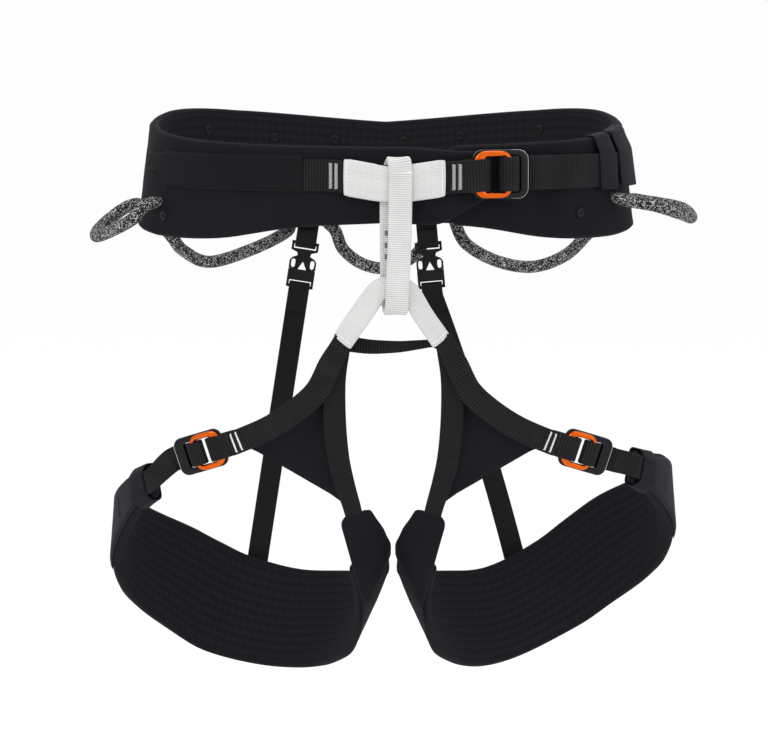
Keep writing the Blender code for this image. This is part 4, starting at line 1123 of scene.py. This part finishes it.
def leg_straps(side, looks):
    """Front, inner and adjusting webbings, the buckle and the bartacks of a leg loop."""
    place = placed(*(mirrored(v, side) for v in LEG_BUCKLE))
    along = place(1, 0, 0) - place(0, 0, 0)
    out = place(0, 0, 1) - place(0, 0, 0)
    body = f"leg_{side}"

    def local(u, w, lean, way=-1, width=LEG_WEBBING):
        a = math.radians(lean)
        return (*place(u, 0, w), *(out * math.cos(a) + way * along * math.sin(a)), width)

    def sided(rows):
        rows = np.array(rows, float)
        return np.column_stack([mirrored(rows[:, :3], side), mirrored(rows[:, 3:6], side), rows[:, 6]])

    # Over the orange frame's near bar and back beneath, where it is sewn to itself.
    wrap = [local(-22, 4.4, -5), local(-16, 7.2, -15), local(-11.5, 8.4, 0), local(-7.0, 8.5, 0),
            local(-2.4, 7.6, 45), local(-1.2, 3.9, 90), local(-2.6, 0.2, 135),
            local(-8, -0.8, 180), local(-15, -0.6, 180), local(-20.5, 0.4, 180)]
    front = np.vstack([sided(LEG_FRONT), wrap])
    rib = (1.75, 0.16)
    obj = ribbon(f"leg_webbing_front_woven_{side}", front, LEG_WEBBING_THICK, looks["webbing"], rib)
    ends = [metres(*mirrored(p, side)) for p in ((-36, -102, -113), (-46, -102, -135))]
    put(obj, "leg_bridge", f"leg_webbing_front_{side}", slot="black_webbing", blend=(body, *ends))

    obj = ribbon(f"leg_webbing_inner_woven_{side}", sided(LEG_INNER), LEG_WEBBING_THICK,
                 looks["fine_webbing"], (0.9, 0.04))
    put(obj, "leg_bridge", f"leg_webbing_inner_{side}", slot="black_webbing", blend=(body, *ends))

    # The tail, the turn round the orange frame's far bar and the run back to the pad.
    s = LEG_BUCKLE_SIZE
    rows = [local(29.0, -2.3, 0, 1), local(24, -2.1, 0, 1), local(20 * s, -1.8, 0, 1),
            local(9.0 * s, -1.2, 10, 1), local(5.2 * s, 0.8, 60, 1), local(4.2 * s, 4.0, 90, 1),
            local(5.6 * s, 7.2, 130, 1), local(10.6 * s, 8.4, 180, 1), local(14.6 * s, 7.2, 230, 1),
            local(16.6 * s, 4.0, 262, 1), local(17.6 * s, 1.0, 230, 1), local(20.6 * s, 0.1, 190, 1),
            local(29, 0.1, 180, 1)]
    for t, lift in ((0.0, 4.0), (0.04, 2.2), (0.08, 1.6), (0.115, 1.6)):
        top, bottom, outward, _ = pad_at(t)
        middle = (top + bottom) / 2 + outward * lift
        rows.append((*pad_sided(middle, side), *mirrored(-outward, side), LEG_WEBBING - 0.5))
    obj = ribbon(f"leg_webbing_adjust_woven_{side}", rows, LEG_WEBBING_THICK, looks["webbing"], rib)
    hinge = metres(*place(28, 0, 0)), metres(*place(17, 0, 0))
    put(obj, body, f"leg_webbing_adjust_{side}", slot="black_webbing",
        blend=(f"leg_buckle_{side}", *hinge))
    buckle(f"leg_buckle_{side}", place, LEG_WEBBING, s, 1.0, 24.0, looks)
    for k, u in enumerate((-19.5, -23.5)):
        row = front_at(front, place, u)
        tack = bartack(f"leg_bartack_{side}_{k + 1}", row, 1.5, 13.0, looks["pale_tack_thread"])
        put(tack, body, slot="white_webbing")


def front_at(table, place, u):
    """place(rows) on the front webbing's upper face, u before the buckle's middle."""
    rows = resample(table, 0.4)
    near = int(np.argmin(np.linalg.norm(rows[: len(rows) * 3 // 4, :3] - place(u, 0, 4), axis=1)))
    tangent = tangents_of(rows[:, :3])[near]
    normal = unit(rows[near, 3:6] - tangent * rows[near, 3:6].dot(tangent))
    side = np.cross(tangent, normal)
    origin = rows[near, :3] + normal * 0.75
    return lambda local: origin + local @ np.array([tangent, side, normal])


# Left gusset's seams along the front and the inner webbing, from the tie-in down.
GUSSET_FRONT_SEAM = ((-48, -97.2, -142.5), (-52, -96.6, -148), (-67, -94, -162), (-84, -88.5, -175.5),
                     (-98, -83, -186))
GUSSET_INNER_SEAM = ((-47, -97.2, -146), (-46, -94.6, -153), (-43.8, -89.8, -178),
                     (-38.5, -80.4, -206), (-33, -74.2, -226))


def gusset(side, looks):
    """Stretch fabric between the front and inner webbings, hollow where nothing pulls it."""
    long_count, wide_count, belly_depth, hem_rise = 60, 40, 2.0, 3.0
    left, right = catmull(GUSSET_FRONT_SEAM, long_count), catmull(GUSSET_INNER_SEAM, long_count)
    share = np.linspace(0, 1, wide_count)
    down = np.linspace(0, 1, long_count)[:, None]
    back = np.array((0.1, 0.97, 0.15))
    sheet = left[:, None] + (right - left)[:, None] * share[None, :, None]
    arch = np.sin(math.pi * share)[None, :]
    belly = arch * np.sin(math.pi * down ** 0.8)
    hem = np.clip(down - 0.9, 0, 1) * 10
    sheet = sheet + back * (belly_depth * belly + 0.35 * ripple(sheet, 22.0, 6) * belly)[..., None]
    sheet = sheet + UP * (arch * hem**2 * hem_rise)[..., None]
    rows = two_sided(sheet - back * 0.1, sheet + back * 0.7)
    obj = skin(f"leg_gusset_fabric_{side}", mirrored(rows, side), looks["shell"])
    put(obj, f"leg_{side}", f"leg_gusset_{side}", slot="softshell")
    long_side = float(np.linalg.norm(np.diff(right, axis=0), axis=1).sum()) * MM
    line = mirrored(sheet[-2] - back * 0.15 - UP * 0.2 + UP * 2.0, side)
    facing = np.repeat([mirrored(-back, side)], wide_count, axis=0)
    seam = stitches(f"leg_gusset_hem_{side}", line, facing, looks["black_thread"], 1.8, 0.9, 0.18)
    put(seam, f"leg_{side}", slot="softshell")


def crotch_sleeve(side, looks):
    """Fabric sleeve over the pad's inner front end, drawn in round the inner webbing."""
    corners = []
    for t in (0.90, 0.94, 0.97, 1.0):
        top, bottom, outward, fall = pad_at(t)
        edge = fall * -0.8
        low, high = (-0.6 if t < 0.92 else 0.9), (0.2 if t < 0.92 else 2.6)
        corners.append([bottom + outward * low - edge, bottom + outward * high - edge,
                        top + outward * high + edge, top + outward * low + edge])
    out = np.array((0.5, -2.2, -0.4))
    for top, bottom in (((-12, -65.5, -236), (-32, -66, -255)), ((-16, -73, -228.5), (-37, -74, -236))):
        top, bottom = np.array(top, float), np.array(bottom, float)
        corners.append([bottom - out * 0.6, bottom + out, top + out, top - out * 0.6])
    corners = np.array(corners)
    fine = np.stack([catmull(corners[:, k], 110) for k in range(4)], axis=1)
    from_end = np.linalg.norm(np.diff(fine[:, 2], axis=0), axis=1)[::-1].cumsum()
    from_end = np.concatenate([[0], from_end])[::-1][:, None]
    corner = 5.0
    drawn = corner - np.sqrt(corner**2 - np.clip(corner - from_end, 0, corner - 0.2) ** 2)
    wide = unit(fine[:, 1] - fine[:, 2])
    for k, way in ((0, -1), (1, -1), (2, 1), (3, 1)):
        fine[:, k] += way * wide * drawn
    flat = 0.85 * (1 - ease(from_end / 2.5)) * 0.5
    for near, far in ((0, 1), (3, 2)):
        gap = fine[:, far] - fine[:, near]
        fine[:, near] += gap * flat
        fine[:, far] -= gap * flat
    share = np.linspace(0, 1, 20)[None, :, None]
    front = fine[:, 1][:, None] + (fine[:, 2] - fine[:, 1])[:, None] * share
    behind = fine[:, 3][:, None] + (fine[:, 0] - fine[:, 3])[:, None] * share
    outward = unit(fine[:, 1] - fine[:, 0])
    crown = np.sin(math.pi * share[..., 0]) * 1.2 * ease(from_end / 4)
    front = front + outward[:, None] * (crown + 0.3 * ripple(front, 20.0, 4))[..., None]
    rows = np.concatenate([front, behind], axis=1)
    obj = skin(f"crotch_sleeve_fabric_{side}", mirrored(rows, side), looks["shell"], crease=70)
    put(obj, f"leg_{side}", f"crotch_sleeve_{side}", slot="softshell")


def leg_keeper(side, looks):
    """Elastic band round the pad and the webbing tail on it."""
    start, end = LEG_KEEPER
    middle = [sum(pad_at(t)[:2]) / 2 for t in LEG_KEEPER]
    span = float(np.linalg.norm(middle[1] - middle[0]))
    grid = []
    for x, out in band_profile(span, 0.9):
        t = (start + end) / 2 + x / span * (end - start)
        top, bottom, outward, fall = pad_at(t)
        tall = float(np.linalg.norm(bottom - top))
        grow = 0.45 + out
        path = round_corners((-PAD - 1.0 - grow, -0.5 - grow), (5.2 + grow, tall + 0.5 + grow), 3.2)
        path = np.column_stack([path, np.zeros(len(path))])
        path = resample(np.vstack([path, path[:1]]), 1.0, smooth=False)
        pick = np.linspace(0, len(path) - 1, 70)
        path = np.column_stack([np.interp(pick, np.arange(len(path)), c) for c in path.T])
        near_edge = np.abs(path[:, 1] / tall * 2 - 1)
        path[:, 0] -= 3.6 * ease((near_edge - 0.55) / 0.5) * (path[:, 0] > 0)
        grid.append(top + outward * path[:, :1] + fall * path[:, 1:2])
    rows = pad_sided(np.array(grid)[:, :-1].transpose(1, 0, 2), side)
    band = skin(f"leg_keeper_elastic_{side}", rows, looks["band"], ring=True)
    put(band, f"leg_{side}", f"leg_keeper_{side}", slot="elastic")


def leg_tail_pocket(side, looks):
    """Wide elastic on the pad's outer face, with an open mouth at its front end."""
    start, end = LEG_TAIL_POCKET
    t = np.linspace(start, end, 50)
    top, bottom, outward, fall = pad_at(t)
    share = np.linspace(0, 1, 26)
    drop = 2.0 + (np.linalg.norm(bottom - top, axis=1) - 4.0)[:, None] * share
    rise = ease(np.minimum(share, 1 - share) * 16)
    ends = ease(np.minimum(t - start, end - t) / 0.004 + 0.3) * (1 + 0.25 * ease((0.11 - t) / 0.04))
    base = top[:, None] + fall[:, None] * drop[..., None]
    outer = base + outward[:, None] * (0.2 + 2.0 * ends[:, None] * rise)[..., None]
    inner = base + outward[:, None] * 0.1
    rows = pad_sided(two_sided(outer, inner), side)
    obj = skin(f"leg_tail_pocket_elastic_{side}", rows, looks["band"])
    put(obj, f"leg_{side}", f"leg_tail_pocket_{side}", slot="elastic")


# ---------------------------------------------------------------- risers and gear loops


def riser(side, looks):
    """Tab, side-release buckle and elastic strap of a rear riser."""
    top, foot = (np.array(p) for p in RISERS[side])
    down = unit(RISER_HANG[side])
    across = unit(np.cross((0, 1, 0), down))
    across = across if across[0] > 0 else -across
    out = unit(np.cross(down, across))
    out = out if out[1] > 0 else -out

    def path(route):
        route = np.array([(*row, 0.0)[:3] for row in route], float)
        return top + route[:, :1] * down + route[:, 1:2] * out + route[:, 2:] * across

    # The tab goes down from the belt, round the male half's bar and up again.
    route = [(-5, 0.2), (0, 1.0), (5, 2.2), (11, 2.9), (14.3, 2.2), (14.9, 0.0), (14.3, -2.2),
             (11, -2.9), (6, -2.4), (2.6, -1.2)]
    tab = turned_ribbon(f"riser_tab_woven_{side}", path(route), across, RISER_WIDTH, RISER_THICK,
                        looks["fine_webbing"], (1.1, 0.06), 0.3)
    put(tab, f"riser_{side}", f"riser_tab_{side}", slot="black_webbing")
    for half in ("male", "female"):
        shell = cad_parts[f"riser_buckle_{half}_{side}"]
        shell.data.materials.clear()
        shell.data.materials.append(looks["plastic"])
        bevel = shell.modifiers.new("soft_edges", "BEVEL")
        bevel.width = 0.45 * MM
        bevel.segments = 2
        bevel.limit_method = "ANGLE"
        bevel.angle_limit = math.radians(30)
    aside, lift, reach = ((foot - top) @ axis for axis in (across, out, down))
    # The strap is doubled round the female half's bar and drifts aside on its way to the foot.
    route = [(62, -1.5), (52, -3.2), (47.2, -4.9), (42.6, -4.6), (40.9, -2.6), (40.9, 2.6)]
    route += [(42.6, 4.6), (47.2, 4.9), (51, 3.4), (56, 1.0), (64, 0.0)]
    route += [(d, lift * (d - 64) / (reach - 64)) for d in np.linspace(84, reach, 8)]
    share = [max(d - 50, 0) / (reach - 50) for d, _ in route]
    route = [(*row, aside * (1.25 * t - 0.25 * t * t)) for row, t in zip(route, share)]
    strap = turned_ribbon(f"riser_strap_elastic_{side}", path(route), across, RISER_WIDTH, RISER_THICK,
                          looks["elastic"], (0.7, 0.0), 0.8)
    put(strap, f"riser_lower_{side}", f"riser_strap_{side}", slot="elastic")


def gear_loops(looks):
    """Four gear loops and the haul loop: sheathed rope from the belt and back into it."""
    step, around = 0.8, 32
    for name, ((turn_a, high_a), (turn_b, high_b), middle) in GEAR_LOOPS.items():
        starts = [belt_point(belt_plan(turn_a, lift)[0], high_a - drop)
                  for lift, drop in ((ROPE_OFF - 4.0, -0.6), (ROPE_OFF + 7.5, 2.0))]
        ends = [belt_point(belt_plan(turn_b, lift)[0], high_b - drop)
                for lift, drop in ((ROPE_OFF + 7.5, 2.0), (ROPE_OFF - 4.0, -0.6))]
        centre = resample(np.array(starts + list(middle) + ends, float), step)
        along = np.arange(len(centre)) * step
        radii = ROPE_RADIUS * (0.72 + 0.28 * ease(np.minimum(along, along[::-1]) / 9))
        rows = tube_rows(centre, radii, around)
        a = np.linspace(0, 2 * math.pi, around, endpoint=False)[None, :]
        s = along[:, None]
        braid = 0.1 * np.cos(8 * a + 2 * math.pi * s / 3.4) * np.cos(8 * a - 2 * math.pi * s / 3.4)
        rows += unit(rows - centre[:, None]) * braid[..., None]
        rope = skin(f"{name}_sheath", rows, looks["sheath"])
        put(rope, name, name, slot="speckled_sheath")


# ---------------------------------------------------------------- stage


# Camera and lamps, in metres.
CAMERA_TARGET = Vector((-0.0063, 0.0, -0.138))
CAMERA_TILT = math.radians(6.0)
CAMERA_DISTANCE = 3.0
LENS = 200.9
SENSOR = 36.0
LAMP_TARGET = Vector((0.0, 0.0, -0.12))
# Name, place, size and power.
LAMPS = (
    ("key", (-1.1, -1.5, 1.5), 0.9, 13.0),
    ("fill", (1.5, -1.3, 0.5), 1.2, 4.0),
    ("top", (0.2, 0.7, 1.7), 1.0, 9.0),
)


def stage():
    """Pale floor, white surroundings and three soft lamps."""
    size, depth = 40.0, -0.62
    mesh = bpy.data.meshes.new("floor")
    mesh.from_pydata([(-size, -size, depth), (size, -size, depth), (size, size, depth),
                      (-size, size, depth)], [], [(0, 1, 2, 3)])
    pale = Look("pale_floor", 0.9, Specular_IOR_Level=0.07)
    pale.colour(mixed(pale.tree, pale.noise(0.7), *shades((0.97, 0.97, 0.97), 0.995, 1.0)))
    mesh.materials.append(pale.made)
    floor = bpy.data.objects.new("floor", mesh)
    bpy.context.scene.collection.objects.link(floor)

    bpy.context.scene.view_settings.view_transform = "Standard"
    world = bpy.data.worlds.new("studio")
    bpy.context.scene.world = world
    world.use_nodes = True
    background = world.node_tree.nodes["Background"]
    background.inputs[0].default_value = (1.0, 1.0, 1.0, 1.0)
    background.inputs[1].default_value = 1.02

    for name, place, size, power in LAMPS:
        data = bpy.data.lights.new(name, "AREA")
        data.size = size
        data.energy = power
        lamp = bpy.data.objects.new(name, data)
        lamp.location = place
        lamp.rotation_euler = (LAMP_TARGET - Vector(place)).to_track_quat("-Z", "Y").to_euler()
        bpy.context.scene.collection.objects.link(lamp)


def camera():
    """Long lens from the front, a little above."""
    data = bpy.data.cameras.new("camera")
    data.lens = LENS
    data.sensor_width = SENSOR
    made = bpy.data.objects.new("camera", data)
    back = Vector((0.0, -math.cos(CAMERA_TILT), math.sin(CAMERA_TILT)))
    made.location = CAMERA_TARGET + back * CAMERA_DISTANCE
    made.rotation_euler = (-back).to_track_quat("-Z", "Y").to_euler()
    bpy.context.scene.collection.objects.link(made)
    bpy.context.scene.camera = made


def main():
    camera()
    stage()
    looks = make_looks()
    belt_pad(looks)
    belt_webbing(looks)
    webbing_cover(looks)
    belt_elastics(looks)
    tie_in(looks)
    waist_bartacks(looks)
    studs(looks)
    waist_buckle(looks)
    belay_loop(looks)
    loop_dashes(looks)
    lower_tie_in(looks)
    for side in ("left", "right"):
        leg_pad(side, looks)
        leg_straps(side, looks)
        gusset(side, looks)
        crotch_sleeve(side, looks)
        leg_keeper(side, looks)
        leg_tail_pocket(side, looks)
        riser(side, looks)
    gear_loops(looks)


main()
